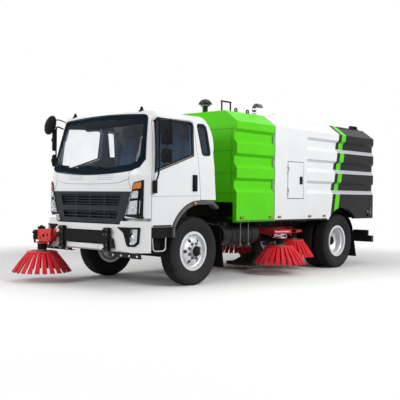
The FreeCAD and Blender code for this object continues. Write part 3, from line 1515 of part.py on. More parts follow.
def front_bumper():
    """The painted bumper: wrapped ends, dipped middle, air inlet, lamp recesses and frame supports."""
    shell = D.bumper_shell
    side = -D.bumper_side
    front = -D.bumper_proud
    skin = bumper_layer(side, front, side + shell, front + shell, D.bumper_bottom, D.bumper_end_top)
    dip = [
        (D.grille_bottom_x + 28, D.bumper_end_top + 5), (D.grille_bottom_x + 8, D.bumper_mid_top),
        (-D.grille_bottom_x - 8, D.bumper_mid_top), (-D.grille_bottom_x - 28, D.bumper_end_top + 5),
    ]
    inlet = [(432, 790), (418, 602), (-418, 602), (-432, 790)]
    under = side_prism(
        -1300, 1300,
        [(D.cab_front - 80, D.bumper_bottom - 1), (D.cab_front - 20, D.bumper_bottom - 1),
         (D.cab_front - 80, D.bumper_bottom + 42)],
    )
    fog = front_cutter(FOG_LAMP)
    skin = without(skin, [front_cutter(dip), front_cutter(inlet), fog, mirrored(fog), under])
    supports = [
        block(s * 380, s * D.rail_outer_x, D.cab_front + front + shell - 6, D.rail_front, 796, 846) for s in (1, -1)
    ]
    return joined([skin, *supports])


def fog_lamps():
    side, front = -D.bumper_side + 4, -D.bumper_proud + 4
    layer = bumper_layer(side, front, side + 24, front + 24, D.bumper_bottom, D.bumper_end_top)
    unit = layer.common(front_cutter(FOG_LAMP, -D.seat_gap))
    return [unit, mirrored(unit)]


def brush_carrier():
    """Two clamp plates and a beam across the front, with the ears and pin of the front brush arm."""
    front = D.cab_front - D.bumper_proud - D.panel_gap
    pieces = [block(-D.carrier_x, D.carrier_x, front - 34, front - 4, 622, 775)]
    for s in (1, -1):
        x = s * D.carrier_x
        pieces.append(block(x - 43, x + 43, front - 52, front, 512, 832))
        pieces.append(block(s * 384, s * 414, front - 10, D.rail_front, 668, 776))
        pieces.append(block(s * 384, s * D.rail_outer_x, D.rail_front - 14, D.rail_front, 668, 776))
        pieces.append(block(x - 60, x + 60, front - 60, front - 40, 520, 560))
        pieces.append(block(x - 60, x + 60, front - 60, front - 40, 780, 820))
    px, pz = D.front_pivot_x, D.front_pivot_z
    for y0, y1 in ((front - 52, front - 40), (front - 12, front)):
        pieces.append(block(-D.carrier_x - 40, px, y0, y1, pz - 32, pz + 32))
        pieces.append(rod((px, y0, pz), (px, y1, pz), 32))
    pieces.append(rod((px, front - 58, pz), (px, front, pz), D.arm_pin_radius))
    return joined(pieces)


# Sweeping gear


def tuft(angle, root, reach, disc_z):
    """One splayed bundle of bristles, a tapered bar from the disc to its tip."""
    low = disc_z - D.brush_drop
    start_z = disc_z - D.disc_thickness / 2
    dr, dz = reach - root, low - start_z
    length = math.hypot(dr, dz)
    nr, nz = -dz / length, dr / length
    tip_r = reach - nr * D.tip_thickness / 2
    tip_z = low + abs(nz) * D.tip_thickness / 2
    wires = []
    for r, z, width, thick in (
        (root, start_z, D.root_width, D.root_thickness), (tip_r, tip_z, D.tip_width, D.tip_thickness),
    ):
        corners = [
            V(r + a * nr * thick / 2, b * width / 2, z + a * nz * thick / 2)
            for a, b in ((1, 1), (1, -1), (-1, -1), (-1, 1))
        ]
        wires.append(Part.makePolygon(corners + corners[:1]))
    bar = Part.makeLoft(wires, True, True)
    return bar.rotated(V(0, 0, 0), V(0, 0, 1), angle)


def gutter_brush(disc_z, disc_radius, reach):
    """A round disc with its hub and a skirt of splayed tufts, turning about an upright axis."""
    root = disc_radius - 30
    disc = Part.makeCylinder(disc_radius, D.disc_thickness, V(0, 0, disc_z - D.disc_thickness))
    hub = Part.makeCylinder(D.motor_radius + 12, 18, V(0, 0, disc_z - 1))
    count = int(D.tuft_count)
    tufts = [tuft(n * 360 / count - 90, root, reach, disc_z) for n in range(count)]
    return joined([disc, hub, *tufts])


def brush_motor(x, y, disc_z):
    """The hydraulic motor that turns a brush, with its mounting plate."""
    base = disc_z + 17 + D.seat_gap
    motor = rod((x, y, base), (x, y, base + D.motor_height), D.motor_radius)
    plate = rod((x, y, base + D.motor_height - 5), (x, y, base + D.motor_height + 12), D.motor_radius + 22)
    ports = [
        rod((x, y, base + 40 + 30 * n), (x, y + D.motor_radius + 26, base + 40 + 30 * n), 11) for n in (0, 1)
    ]
    return joined([motor, plate, *ports])


def arm_beam(start, end):
    """A rectangular arm tube between two places, stood on its edge."""
    a = V(start[0], along(start[1]), start[2])
    b = V(end[0], along(end[1]), end[2])
    run = b - a
    run_length = run.Length
    tube = Part.makeBox(run_length, 2 * D.arm_tube, 2.4 * D.arm_tube, V(0, -D.arm_tube, -1.2 * D.arm_tube))
    turn = math.degrees(math.atan2(run.y, run.x))
    dip = math.degrees(math.asin(run.z / run_length))
    spin = FreeCAD.Rotation(V(0, 0, 1), turn).multiply(FreeCAD.Rotation(V(0, 1, 0), -dip))
    tube.Placement = FreeCAD.Placement(a, spin)
    return tube


def front_arm():
    """The front brush's arm: an eye on the carrier's pin, a beam and the motor."""
    front = D.cab_front - D.bumper_proud - D.panel_gap
    px, pz = D.front_pivot_x, D.front_pivot_z
    x, y = D.front_brush_x, D.front_brush_y
    y0, y1 = front - 39, front - 13
    eye = rod((px, y0, pz), (px, y1, pz), 34)
    top = D.front_brush_disc_z + D.motor_height + 30
    middle_y = (y0 + y1) / 2
    link = block(px, px - 70, y0, y1, pz - 26, pz + 26)
    beam = rod((px - 50, middle_y, pz), (x, y, top), 24)
    ram = rod((px - 60, middle_y, pz + 24), (x + 120, y + 4, top + 70), 15)
    post = rod((x + 120, y + 4, top - 6), (x + 120, y + 4, top + 84), 16)
    whole = joined([eye, link, beam, ram, post, brush_motor(x, y, D.front_brush_disc_z)])
    hole = rod((px, y0 - 10, pz), (px, y1 + 10, pz), D.arm_pin_radius + D.run_gap)
    return whole.cut(hole)


def side_arms():
    """The left lifting frame: a shaft along the frame with a beam and a motor for each side brush."""
    x, z = D.arm_pivot_x, D.arm_pivot_z
    y0, y1 = D.arm_bearing_front, D.arm_bearing_rear
    shaft = rod((x, y0 - 34, z), (x, y1 + 34, z), D.arm_pin_radius)
    sleeve = rod((x, y0 + 26, z), (x, y1 - 26, z), D.arm_tube + 6)
    pieces = [shaft, sleeve]
    for bx, by, bz in (
        (D.mid_brush_x, D.mid_brush_y, D.mid_brush_disc_z),
        (D.inner_brush_x, D.inner_brush_y, D.inner_brush_disc_z),
    ):
        top = bz + D.motor_height + 22
        pieces.append(arm_beam((x, by, z), (bx, by, top + 14)))
        pieces.append(brush_motor(bx, by, bz))
    strut = rod((x + 30, D.mid_brush_y + 330, z), (D.mid_brush_x - 30, D.mid_brush_y + 20, 622), 17)
    ram = rod((x, D.mid_brush_y - 40, z + 24), (D.mid_brush_x - 130, D.mid_brush_y - 18, 700), 20)
    post = block(D.mid_brush_x - 150, D.mid_brush_x - 110, D.mid_brush_y - 30, D.mid_brush_y + 10, 620, 720)
    return joined([*pieces, strut, ram, post])


def suction_nozzle():
    """The wide suction mouth under the middle of the frame and its duct up to the hopper."""
    y = D.nozzle_y
    half_x, half_y = D.nozzle_half_width, D.nozzle_half_length
    low, shoulder = D.nozzle_clearance, D.nozzle_clearance + 225
    duct_x, r = D.duct_x, D.duct_radius

    def ring(hx, hy, cx, z):
        corners = [V(cx + a * hx, along(y + b * hy), z) for a, b in ((1, 1), (-1, 1), (-1, -1), (1, -1))]
        return Part.makePolygon(corners + corners[:1])

    hood = Part.makeLoft([ring(half_x, half_y, 0, low), ring(r + 8, r + 8, duct_x, shoulder)], True, True)
    skirt = block(-half_x - 12, half_x + 12, y - half_y - 12, y + half_y + 12, low, low + 60)
    hollow = Part.makeLoft(
        [ring(half_x - 12, half_y - 12, 0, low - 1), ring(r - 20, r - 20, duct_x, shoulder - 40)], True, True,
    )
    duct = rod((duct_x, y, shoulder - 20), (duct_x, y, D.hopper_floor - 8), r)
    stay = block(duct_x + r - 10, D.rail_outer_x - D.rail_web, y - 30, y + 30, 700, 760)
    return joined([hood.fuse(skirt).cut(hollow), duct, stay])


feature("front_bumper", front_bumper())
feature("lamps", lamps())
feature("brush_carrier", brush_carrier())
feature("front_brush_arm", front_arm())
feature("side_brush_arm_left", side_arms())
feature("side_brush_arm_right", mirrored(side_arms()))
feature("suction_nozzle", suction_nozzle())

BRUSHES = {
    "brush_front": (D.front_brush_x, D.front_brush_y, D.front_brush_disc_z, D.disc_radius, D.front_brush_reach),
    "brush_mid_left": (D.mid_brush_x, D.mid_brush_y, D.mid_brush_disc_z, D.disc_radius, D.mid_brush_reach),
    "brush_mid_right": (-D.mid_brush_x, D.mid_brush_y, D.mid_brush_disc_z, D.disc_radius, D.mid_brush_reach),
    "brush_inner_left": (
        D.inner_brush_x, D.inner_brush_y, D.inner_brush_disc_z, D.inner_disc_radius, D.inner_brush_reach,
    ),
    "brush_inner_right": (
        -D.inner_brush_x, D.inner_brush_y, D.inner_brush_disc_z, D.inner_disc_radius, D.inner_brush_reach,
    ),
}
for label, (x, y, disc_z, disc_radius, reach) in BRUSHES.items():
    feature(label, gutter_brush(disc_z, disc_radius, reach), V(x, along(y), 0))

# Check and write

doc.recompute()
for thing in doc.Objects:
    if "Invalid" in thing.State or "Error" in thing.State:
        raise RuntimeError(f"{thing.Label} did not compute")
for node in nodes:
    if node.Shape.isNull() or not node.Shape.isValid():
        raise RuntimeError(f"{node.Label} has no valid shape")
    if not node.Shape.Solids or node.Shape.Volume <= 0:
        raise RuntimeError(f"{node.Label} holds no solid")
for node in nodes:
    node.Shape.exportStep(os.path.join("parts", f"{node.Label}.step"))
print(len(nodes), "pieces written")
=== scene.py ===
# %% [markdown]
# # A street sweeper truck
# The truck is packed as a set of plain solids in metres, each in its real place. This script loads
# them, keeps those whose shape is right, dresses them with finishes, and adds the small parts that
# a solid model leaves out: treads, bristles, lenses, wipers, bolts and pipes.
# Front is towards -Y, the vehicle's left side towards +X, and the ground is Z = 0.

# %% Load the frame
import bpy
import bmesh
import json
import math
import random
from mathutils import Matrix, Vector


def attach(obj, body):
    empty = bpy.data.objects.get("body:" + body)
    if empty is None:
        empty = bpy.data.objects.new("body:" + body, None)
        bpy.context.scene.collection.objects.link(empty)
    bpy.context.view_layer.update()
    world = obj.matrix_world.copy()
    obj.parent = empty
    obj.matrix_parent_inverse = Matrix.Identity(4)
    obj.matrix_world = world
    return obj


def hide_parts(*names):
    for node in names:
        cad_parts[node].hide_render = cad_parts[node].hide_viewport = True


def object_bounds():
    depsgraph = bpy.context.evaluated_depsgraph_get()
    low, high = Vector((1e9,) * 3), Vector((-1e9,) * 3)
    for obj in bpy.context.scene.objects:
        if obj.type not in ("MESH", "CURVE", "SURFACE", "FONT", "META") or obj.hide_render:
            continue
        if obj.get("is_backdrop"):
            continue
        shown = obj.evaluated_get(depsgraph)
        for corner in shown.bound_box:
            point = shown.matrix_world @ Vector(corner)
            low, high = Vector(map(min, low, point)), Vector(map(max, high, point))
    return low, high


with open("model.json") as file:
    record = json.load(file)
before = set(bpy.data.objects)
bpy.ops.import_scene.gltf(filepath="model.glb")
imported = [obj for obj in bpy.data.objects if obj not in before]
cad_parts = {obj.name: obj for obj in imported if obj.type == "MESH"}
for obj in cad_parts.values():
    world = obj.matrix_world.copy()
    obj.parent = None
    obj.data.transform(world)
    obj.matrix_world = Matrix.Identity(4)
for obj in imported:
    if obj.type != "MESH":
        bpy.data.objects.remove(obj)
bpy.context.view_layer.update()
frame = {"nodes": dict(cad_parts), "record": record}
NODES = frame["nodes"]
BODY_OF = {node: body for body, members in frame["record"]["behaviour"]["bodies"].items() for node in members}

# %% [markdown]
# Lengths along the truck are easiest to think of from the front axle, so one helper turns such a
# length into the frame's own Y. Most parts come in pairs, so the two sides are listed once, each
# with its sign, its word and the axis that points out of the truck there.

# %% Places
FRONT_AXLE, WHEELBASE, AXLE_Z = -1.7405, 3.85, 0.487
SIDES = ((1, "left", "x"), (-1, "right", "-x"))
MIRROR = Matrix.Diagonal((-1, 1, 1, 1))


def along(y):
    """The frame's Y for a distance behind the front axle."""
    return y + FRONT_AXLE


def flipped(outline, side):
    """An outline seen from the front, carried to its side."""
    return [(side * x, z) for x, z in outline]


# %% [markdown]
# Every piece is started from a primitive, and the same few steps finish each one: nothing else may
# be selected when the primitive is added, its place is baked into its mesh, its normals point
# outwards, and it is told which body it rides on. These steps are worth a few small helpers.

# %% Starting and shaping a piece
def deselect():
    for thing in bpy.context.selected_objects:
        thing.select_set(False)


def only(piece):
    deselect()
    bpy.context.view_layer.objects.active = piece
    piece.select_set(True)


def settle(piece):
    """Bakes the object's own place, turn and scale into its mesh."""
    piece.data.transform(piece.matrix_basis)
    piece.matrix_basis = Matrix.Identity(4)
    return piece


def moved(piece, *steps):
    """Moves a piece's mesh by one matrix after the other."""
    for step in steps:
        piece.data.transform(step)
    return piece


def circle(count, fill):
    """A new ring of points that the caller puts in place."""
    deselect()
    bpy.ops.mesh.primitive_circle_add(vertices=count, radius=1, fill_type=fill)
    return bpy.context.object


def edit_all():
    bpy.ops.object.mode_set(mode="EDIT")
    bpy.ops.mesh.select_all(action="SELECT")


def outward(piece, merge=0.00005):
    """Merges doubled points and turns every face outwards."""
    only(piece)
    edit_all()
    bpy.ops.mesh.remove_doubles(threshold=merge)
    bpy.ops.mesh.normals_make_consistent(inside=False)
    bpy.ops.object.mode_set(mode="OBJECT")
    return piece


def smooth(piece, degrees=35):
    only(piece)
    bpy.ops.object.shade_smooth_by_angle(angle=math.radians(degrees))
    return piece


def apply(piece, kind, **settings):
    """Adds a modifier and applies it."""
    tool = piece.modifiers.new(kind, kind)
    for key, value in settings.items():
        setattr(tool, key, value)
    only(piece)
    bpy.ops.object.modifier_apply(modifier=tool.name)
    return piece


def bevel(piece, width, segments=2, degrees=30):
    return apply(piece, "BEVEL", width=width, segments=segments, limit_method="ANGLE",
                 angle_limit=math.radians(degrees))


def carve(piece, cutter):
    """Cuts one piece's shape out of another."""
    apply(piece, "BOOLEAN", object=cutter, solver="EXACT")
    bpy.data.objects.remove(cutter)


# %% Copying, joining and fitting pieces
def merged(pieces):
    """Joins several finished pieces into one object."""
    if len(pieces) > 1:
        only(pieces[0])
        for piece in pieces[1:]:
            piece.select_set(True)
        bpy.ops.object.join()
    return pieces[0]


def copy_of(piece, move):
    """A copy with its own mesh, moved by a matrix that is baked in."""
    twin = piece.copy()
    twin.data = piece.data.copy()
    bpy.context.scene.collection.objects.link(twin)
    return moved(twin, move)


def fit(name, pieces, body, finish, replaces=()):
    """Makes one named piece, and gives it its finish, its body and the solids that it stands for."""
    piece = merged(pieces if isinstance(pieces, list) else [pieces])
    piece.name = piece.data.name = name
    piece.data.materials.clear()
    piece.data.materials.append(finish)
    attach(piece, body)
    if replaces:
        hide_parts(*replaces)
    return piece


# %% [markdown]
# Four shapes come back all over a truck. A box with softened edges is a cube that is scaled and
# bevelled. A round part is a closed profile spun about its axis, which is how a lathe makes it. A
# tube is a circle that follows a run of points. A plate is an outline that is pushed out.

# %% Softened boxes
def slab(low, high, soft=0.004, segments=2, turn=None):
    """A box between two opposite corners, with every edge rounded."""
    deselect()
    bpy.ops.mesh.primitive_cube_add(size=1, location=[(a + b) / 2 for a, b in zip(low, high)])
    piece = moved(bpy.context.object, Matrix.Diagonal([abs(b - a) for a, b in zip(low, high)] + [1]))
    if turn is not None:
        piece.rotation_euler = [math.radians(a) for a in turn]
    settle(piece)
    return smooth(bevel(piece, soft, segments), 40)


# %% Turned parts
AXES = {
    "x": Matrix(((0, 0, 1), (1, 0, 0), (0, 1, 0))),
    "-x": Matrix(((0, 0, -1), (-1, 0, 0), (0, 1, 0))),
    "y": Matrix(((0, 1, 0), (0, 0, 1), (1, 0, 0))),
    "-y": Matrix(((0, -1, 0), (0, 0, -1), (1, 0, 0))),
    "z": Matrix(((1, 0, 0), (0, 1, 0), (0, 0, 1))),
}
ON_AXIS = 0.0001


def turned(profile, centre, axis="z", steps=32, degrees=35):
    """Spins a closed profile of (radius, height) points about an axis through the centre."""
    piece = circle(len(profile), "NOTHING")
    for point, (radius, height) in zip(piece.data.vertices, profile):
        point.co = (radius or ON_AXIS, 0, height)
    edit_all()
    bpy.ops.mesh.spin(steps=steps, angle=2 * math.pi, center=(0, 0, 0), axis=(0, 0, 1))
    bpy.ops.object.mode_set(mode="OBJECT")
    moved(piece, AXES[axis].to_4x4(), Matrix.Translation(centre))
    return smooth(outward(piece), degrees)


def disc_profile(radius, thick, soft=0.003, low=0.0):
    """A solid disc's profile with rounded rims, from its middle out."""
    top = low + thick
    return [(0, low), (radius - soft, low), (radius, low + soft), (radius, top - soft), (radius - soft, top), (0, top)]


# %% Tubes
def rounded_corner(before, corner, after, reach, steps, share):
    """Points on a curve that cuts a corner short, using at most a share of each neighbouring side."""
    into, onward = before - corner, after - corner
    reach = min(reach, into.length / share, onward.length / share)
    a, b = corner + into.normalized() * reach, corner + onward.normalized() * reach
    return [a * (1 - t) ** 2 + corner * 2 * t * (1 - t) + b * t * t for t in (n / steps for n in range(steps + 1))]


def tube(points, radius, around=10, bend=0.0):
    """A round bar or pipe through the points, its corners rounded where a bend is given."""
    curve = bpy.data.curves.new("tube", "CURVE")
    curve.dimensions = "3D"
    curve.bevel_depth = radius
    curve.bevel_resolution = max(1, around // 4 - 1)
    curve.use_fill_caps = True
    path = [Vector(p) for p in points]
    if bend:
        corners = [rounded_corner(*three, bend, 6, 2.1) for three in zip(path, path[1:], path[2:])]
        path = [path[0], *(p for corner in corners for p in corner), path[-1]]
    line = curve.splines.new("POLY")
    line.points.add(len(path) - 1)
    for spot, place in zip(line.points, path):
        spot.co = (*place, 1)
    holder = bpy.data.objects.new("tube", curve)
    bpy.context.scene.collection.objects.link(holder)
    only(holder)
    bpy.ops.object.convert(target="MESH")
    return smooth(outward(bpy.context.object), 50)


# %% Plates
def plate(outline, view, low, high, soft=0.002, holes=()):
    """A flat plate: an outline seen from the front or the top, with round holes."""
    front = view == "front"
    spot = (lambda u, w, d: (u, d, w)) if front else (lambda u, w, d: (u, w, d))
    piece = circle(len(outline), "NGON")
    for point, (u, w) in zip(piece.data.vertices, outline):
        point.co = spot(u, w, low)
    edit_all()
    bpy.ops.mesh.extrude_region_move(TRANSFORM_OT_translate={"value": spot(0, 0, high - low)})
    bpy.ops.object.mode_set(mode="OBJECT")
    outward(piece)
    for u, w, radius in holes:
        profile = disc_profile(radius, high - low + 0.02, 0.0005, low - 0.01)
        carve(piece, turned(profile, spot(u, w, 0), "y" if front else "z", 20))
    return smooth(bevel(piece, soft, 2, 40) if soft else piece)


# %% [markdown]
# Trim that lies on a curved panel, such as a window's rubber or a lamp's lens, is drawn flat as
# seen from the front or the side. It is cut into small faces and then pressed on to the panel with
# a Shrinkwrap modifier, so that it follows the panel exactly, and thickened with Solidify.

# %% Outlines of trim
def rounded_outline(points, radius, steps):
    """Softens the corners of a closed outline."""
    path = [Vector(p) for p in points]
    neighbours = zip(path[-1:] + path[:-1], path, path[1:] + path[:1])
    return [tuple(p) for three in neighbours for p in rounded_corner(*three, radius, steps, 2.2)]


def grown(outline, by):
    """The closed outline moved outwards along its own normals; a negative value moves it inwards."""
    count = len(outline)
    area = sum(outline[n - 1][0] * outline[n][1] - outline[n][0] * outline[n - 1][1] for n in range(count))
    sign = 1 if area > 0 else -1
    out = []
    for n in range(count):
        a, b, c = (Vector(outline[(n + k) % count]) for k in (-1, 0, 1))
        into, onward = (b - a).normalized(), (c - b).normalized()
        normal = Vector((into.y + onward.y, -into.x - onward.x)).normalized()
        stretch = 1 / max(0.5, abs(normal.dot(Vector((into.y, -into.x)))))
        out.append(tuple(b + normal * by * sign * stretch))
    return out


# %% Trim pressed on to a panel
SIDE_START, FRONT_START = 1.6, -4.2
BEHIND_SCREEN, SIDE_PANEL_X, UNMOVED = along(-0.55), 0.8, 0.0005


def catch_strays(piece, axis, away):
    """Moves points that met no skin, or met the far side through an opening, to their neighbours' depth."""
    points = [p.co for p in piece.data.vertices]

    def sound(p):
        if abs(p[axis] - away) < UNMOVED:
            return False
        return p.y < BEHIND_SCREEN if axis else p.x * away > 0 and abs(p.x) > SIDE_PANEL_X

    good = [p.copy() for p in points if sound(p)]
    for p in points:
        if good and not sound(p):
            p[axis] = min(good, key=lambda g: (g[1 - axis] - p[1 - axis]) ** 2 + (g.z - p.z) ** 2)[axis]


def pressed(outline, view, node, inner=None, lift=0.001, thick=0.003, cells=0.05, side=1):
    """A flat patch or ring, seen along X or Y, laid on a node's outer skin and thickened."""
    axis = 0 if view == "side" else 1
    away = FRONT_START if axis else SIDE_START * side
    count = len(outline)
    spot = (lambda u, w: (u, away, w)) if axis else (lambda u, w: (away, u, w))
    piece = circle(count, "NOTHING")
    for point, (u, w) in zip(piece.data.vertices, outline):
        point.co = spot(u, w)
    edit_all()
    if inner is None:
        bpy.ops.mesh.edge_face_add()
        bpy.ops.mesh.quads_convert_to_tris()
    else:
        mesh = bmesh.from_edit_mesh(piece.data)
        ring = [mesh.verts.new(spot(u, w)) for u, w in inner]
        mesh.verts.ensure_lookup_table()
        outer = [mesh.verts[n] for n in range(count)]
        for n in range(count):
            mesh.faces.new((outer[n], outer[(n + 1) % count], ring[(n + 1) % count], ring[n]))
        bmesh.update_edit_mesh(piece.data)
    for values, normal in zip(zip(*outline), (((1, 0, 0) if axis else (0, 1, 0)), (0, 0, 1))):
        low, high = min(values), max(values)
        slices = int((high - low) / cells)
        for n in range(1, slices + 1):
            at = low + (high - low) * n / (slices + 1)
            bpy.ops.mesh.select_all(action="SELECT")
            bpy.ops.mesh.bisect(plane_co=[c * at for c in normal], plane_no=normal)
    bpy.ops.object.mode_set(mode="OBJECT")
    apply(piece, "SHRINKWRAP", target=NODES[node], wrap_method="PROJECT", wrap_mode="OUTSIDE_SURFACE", offset=lift,
          use_project_x=not axis, use_project_y=bool(axis), use_project_z=False,
          use_positive_direction=True, use_negative_direction=True)
    catch_strays(piece, axis, away)
    return smooth(outward(apply(piece, "SOLIDIFY", thickness=thick, offset=0)), 40)


def strip(points, width, view, node, lift, thick, side=1, cells=0.04):
    """A narrow band that follows an open line of points on a panel."""
    line = [Vector(p) for p in points]
    upper, lower = [], []
    for n, point in enumerate(line):
        ahead = (line[min(n + 1, len(line) - 1)] - line[max(n - 1, 0)]).normalized()
        across = Vector((-ahead.y, ahead.x)) * width / 2
        upper.append(tuple(point + across))
        lower.append(tuple(point - across))
    return pressed(upper + lower[::-1], view, node, None, lift, thick, cells, side)


def depth_at(node, x, z):
    """How far back a node's front skin lies at a place, or nothing where it has none."""
    hit, point, normal, face = NODES[node].ray_cast(Vector((x, -5, z)), Vector((0, 1, 0)))
    return point.y if hit else None

# %% [markdown]
# ## Finishes
# A truck is seen from a few steps away, so what makes its paint, rubber and plastic look real is
# small: a faint unevenness in the gloss, grime that gathers low down, and a grain in moulded parts.
# Each of these effects is used by several materials, so each is one node group with its own inputs.

# %% Helpers for node trees
def node(tree, kind, **settings):
    """A node with its properties. in_0, in_Scale and so on set an input, or link it to a socket."""
    return feed(tree, tree.nodes.new("ShaderNode" + kind), **settings)


def feed(tree, made, **settings):
    """Sets a node's properties and inputs, and links an input where the value is a socket."""
    for key, value in settings.items():
        if not key.startswith("in_"):
            setattr(made, key, value)
            continue
        label = key[3:].replace("_", " ")
        socket = made.inputs[int(label) if label.isdigit() else label]
        if isinstance(value, bpy.types.NodeSocket):
            tree.links.new(value, socket)
        else:
            socket.default_value = value
    return made


def maths(tree, operation, a, b, clamp=False):
    return node(tree, "Math", operation=operation, use_clamp=clamp, in_0=a, in_1=b).outputs[0]


def ramp(tree, value, from_low, from_high, to_low, to_high, **more):
    """Carries a value from one range to another."""
    return node(tree, "MapRange", in_From_Min=from_low, in_From_Max=from_high, in_To_Min=to_low, in_To_Max=to_high,
                in_Value=value, **more).outputs[0]


def blend(tree, share, under, over, **more):
    """One colour over another."""
    return node(tree, "Mix", data_type="RGBA", in_0=share, in_6=under, in_7=over, **more).outputs[2]


def effect(name, inputs, outputs):
    """An empty node group with named values; it returns the group and the sockets at its two ends."""
    group = bpy.data.node_groups.new(name, "ShaderNodeTree")
    for label, value in inputs.items():
        group.interface.new_socket(name=label, in_out="INPUT", socket_type="NodeSocketFloat").default_value = value
    for label in outputs:
        group.interface.new_socket(name=label, in_out="OUTPUT", socket_type="NodeSocketFloat")
    return group, group.nodes.new("NodeGroupInput").outputs, group.nodes.new("NodeGroupOutput")


def object_place(tree):
    return tree.nodes.new("ShaderNodeTexCoord").outputs["Object"]


def material(name, colour, solid=1):
    """A new material with its tree and its shader."""
    made = bpy.data.materials.new(name)
    made.use_nodes = True
    made.diffuse_color = (*colour, solid)
    return made, made.node_tree, made.node_tree.nodes["Principled BSDF"]


# %% [markdown]
# Road grime is thickest at the ground and is gone by the height of the windows. A height ramp is
# broken up by noise, so that no straight edge shows.

# %% Grime that gathers low down
grime, given, end = effect("road_grime", {"Top": 1.2, "Amount": 0.5, "Size": 3.0}, ["Mask"])
spot = object_place(grime)
height = node(grime, "SeparateXYZ", in_0=spot).outputs["Z"]
low_part = maths(grime, "SUBTRACT", 1.0, maths(grime, "DIVIDE", height, given["Top"]), True)
cloud = node(grime, "TexNoise", in_Detail=6.0, in_Roughness=0.62, in_Vector=spot, in_Scale=given["Size"])
broken = ramp(grime, cloud.outputs[0], 0.35, 0.7, 0.25, 1.0)
feed(grime, end, in_Mask=maths(grime, "MULTIPLY", maths(grime, "MULTIPLY", low_part, broken), given["Amount"], True))

# %% [markdown]
# Sprayed paint, moulded plastic, rubber and cast iron all carry a skin of small bumps. They differ
# in size and in how sharp the bumps are, so one group makes them all from two noises.

# %% A bumpy skin
skin_group, given, end = effect("fine_skin", {"Size": 200.0, "Stretch": 1.0, "Sharp": 0.0}, ["Height", "Blotch"])
spot = object_place(skin_group)
wide = node(skin_group, "CombineXYZ", in_0=1.0, in_1=1.0, in_2=given["Stretch"])
pulled = node(skin_group, "VectorMath", operation="MULTIPLY", in_0=spot, in_1=wide.outputs[0]).outputs[0]
bumps = node(skin_group, "TexNoise", in_Detail=3.0, in_Roughness=0.55, in_Vector=pulled, in_Scale=given["Size"])
pits = node(skin_group, "TexVoronoi", in_Vector=pulled, in_Scale=given["Size"])
patches = node(skin_group, "TexNoise", in_Scale=2.3, in_Detail=5.0, in_Roughness=0.6, in_Vector=spot)
choice = node(skin_group, "Mix", in_0=given["Sharp"], in_2=bumps.outputs[0], in_3=pits.outputs["Distance"])
feed(skin_group, end, in_Height=choice.outputs[0], in_Blotch=patches.outputs[0])

# %% [markdown]
# One function then builds every opaque finish: a colour that drifts a little, grime over it, a gloss
# that the grime dulls, and the bumpy skin. What differs is only the numbers.

# %% Opaque finishes
DUST, DUSTY_ROUGHNESS = (0.33, 0.30, 0.26, 1), 0.45


def skin_of(tree, **settings):
    return node(tree, "Group", node_tree=skin_group, **settings).outputs


def finish(name, slot, colour, rough, metal=0.0, coat=0.0, size=420.0, depth=0.0002, stretch=1.0, sharp=0.0,
           drift=0.06, grime_top=1.3, grime_amount=0.25, coloured=None, shine=0.3):
    """An opaque procedural finish; coloured may build the base colour itself in the material's tree."""
    made, tree, shader = material(name, colour)
    skin = skin_of(tree, in_Size=size, in_Stretch=stretch, in_Sharp=sharp)
    dirt = node(tree, "Group", node_tree=grime, in_Top=grime_top, in_Amount=grime_amount).outputs[0]
    drifted = ramp(tree, skin["Blotch"], 0.3, 0.7, 1 - drift, 1 + drift)
    base = blend(tree, 1.0, coloured(tree) if coloured else (*colour, 1), drifted, blend_type="MULTIPLY")
    gloss = ramp(tree, dirt, 0, 1, rough, min(1.0, rough + DUSTY_ROUGHNESS))
    bump = node(tree, "Bump", in_Strength=0.6, in_Distance=depth, in_Height=skin["Height"])
    feed(tree, shader, in_Metallic=metal, in_Coat_Weight=coat, in_Coat_Roughness=0.06, in_Specular_IOR_Level=shine,
         in_Base_Color=blend(tree, dirt, base, DUST), in_Roughness=maths(tree, "MULTIPLY", gloss, drifted),
         in_Normal=bump.outputs[0])
    return made


# %% Paints
WHITE, GREEN, RED = (0.80, 0.81, 0.82), (0.100, 0.64, 0.004), (0.66, 0.010, 0.014)
NEAR_BLACK = (0.005, 0.0052, 0.0062)
PANEL = {"size": 600, "depth": 0.00006}
cab_white = finish("cab_white_paint", "white_paint", WHITE, 0.32, coat=0.5, drift=0.02, grime_amount=0.10, **PANEL)
module_green = finish("module_green_paint", "green_paint", GREEN, 0.36, coat=0.08, drift=0.05, grime_amount=0.08,
                      shine=0.12, **PANEL)
crease_shadow = finish("crease_shadow_paint", "white_paint", (0.40, 0.41, 0.43), 0.5, drift=0.04, grime_amount=0.05,
                       **PANEL)
green_dark = finish("module_green_seam", "green_paint", (0.03, 0.20, 0.01), 0.5, size=500, depth=0.0001, drift=0.05)
arm_red = finish("arm_red_paint", "red_paint", RED, 0.38, coat=0.25, size=500, depth=0.0001, drift=0.1,
                 grime_amount=0.2)
gloss_black = finish("gloss_black_paint", "black_paint", NEAR_BLACK, 0.34, coat=0.06, size=500, depth=0.00008,
                     drift=0.12, grime_amount=0.06, shine=0.14)
frame_black = finish("frame_black_paint", "black_paint", (0.012, 0.012, 0.013), 0.55, size=300, depth=0.0003,
                     drift=0.2, grime_amount=0.1, shine=0.1)
iron = finish("cast_iron_paint", "axle_iron", (0.020, 0.020, 0.021), 0.7, size=260, depth=0.0008, sharp=0.4,
              drift=0.25, grime_amount=0.16, shine=0.12)

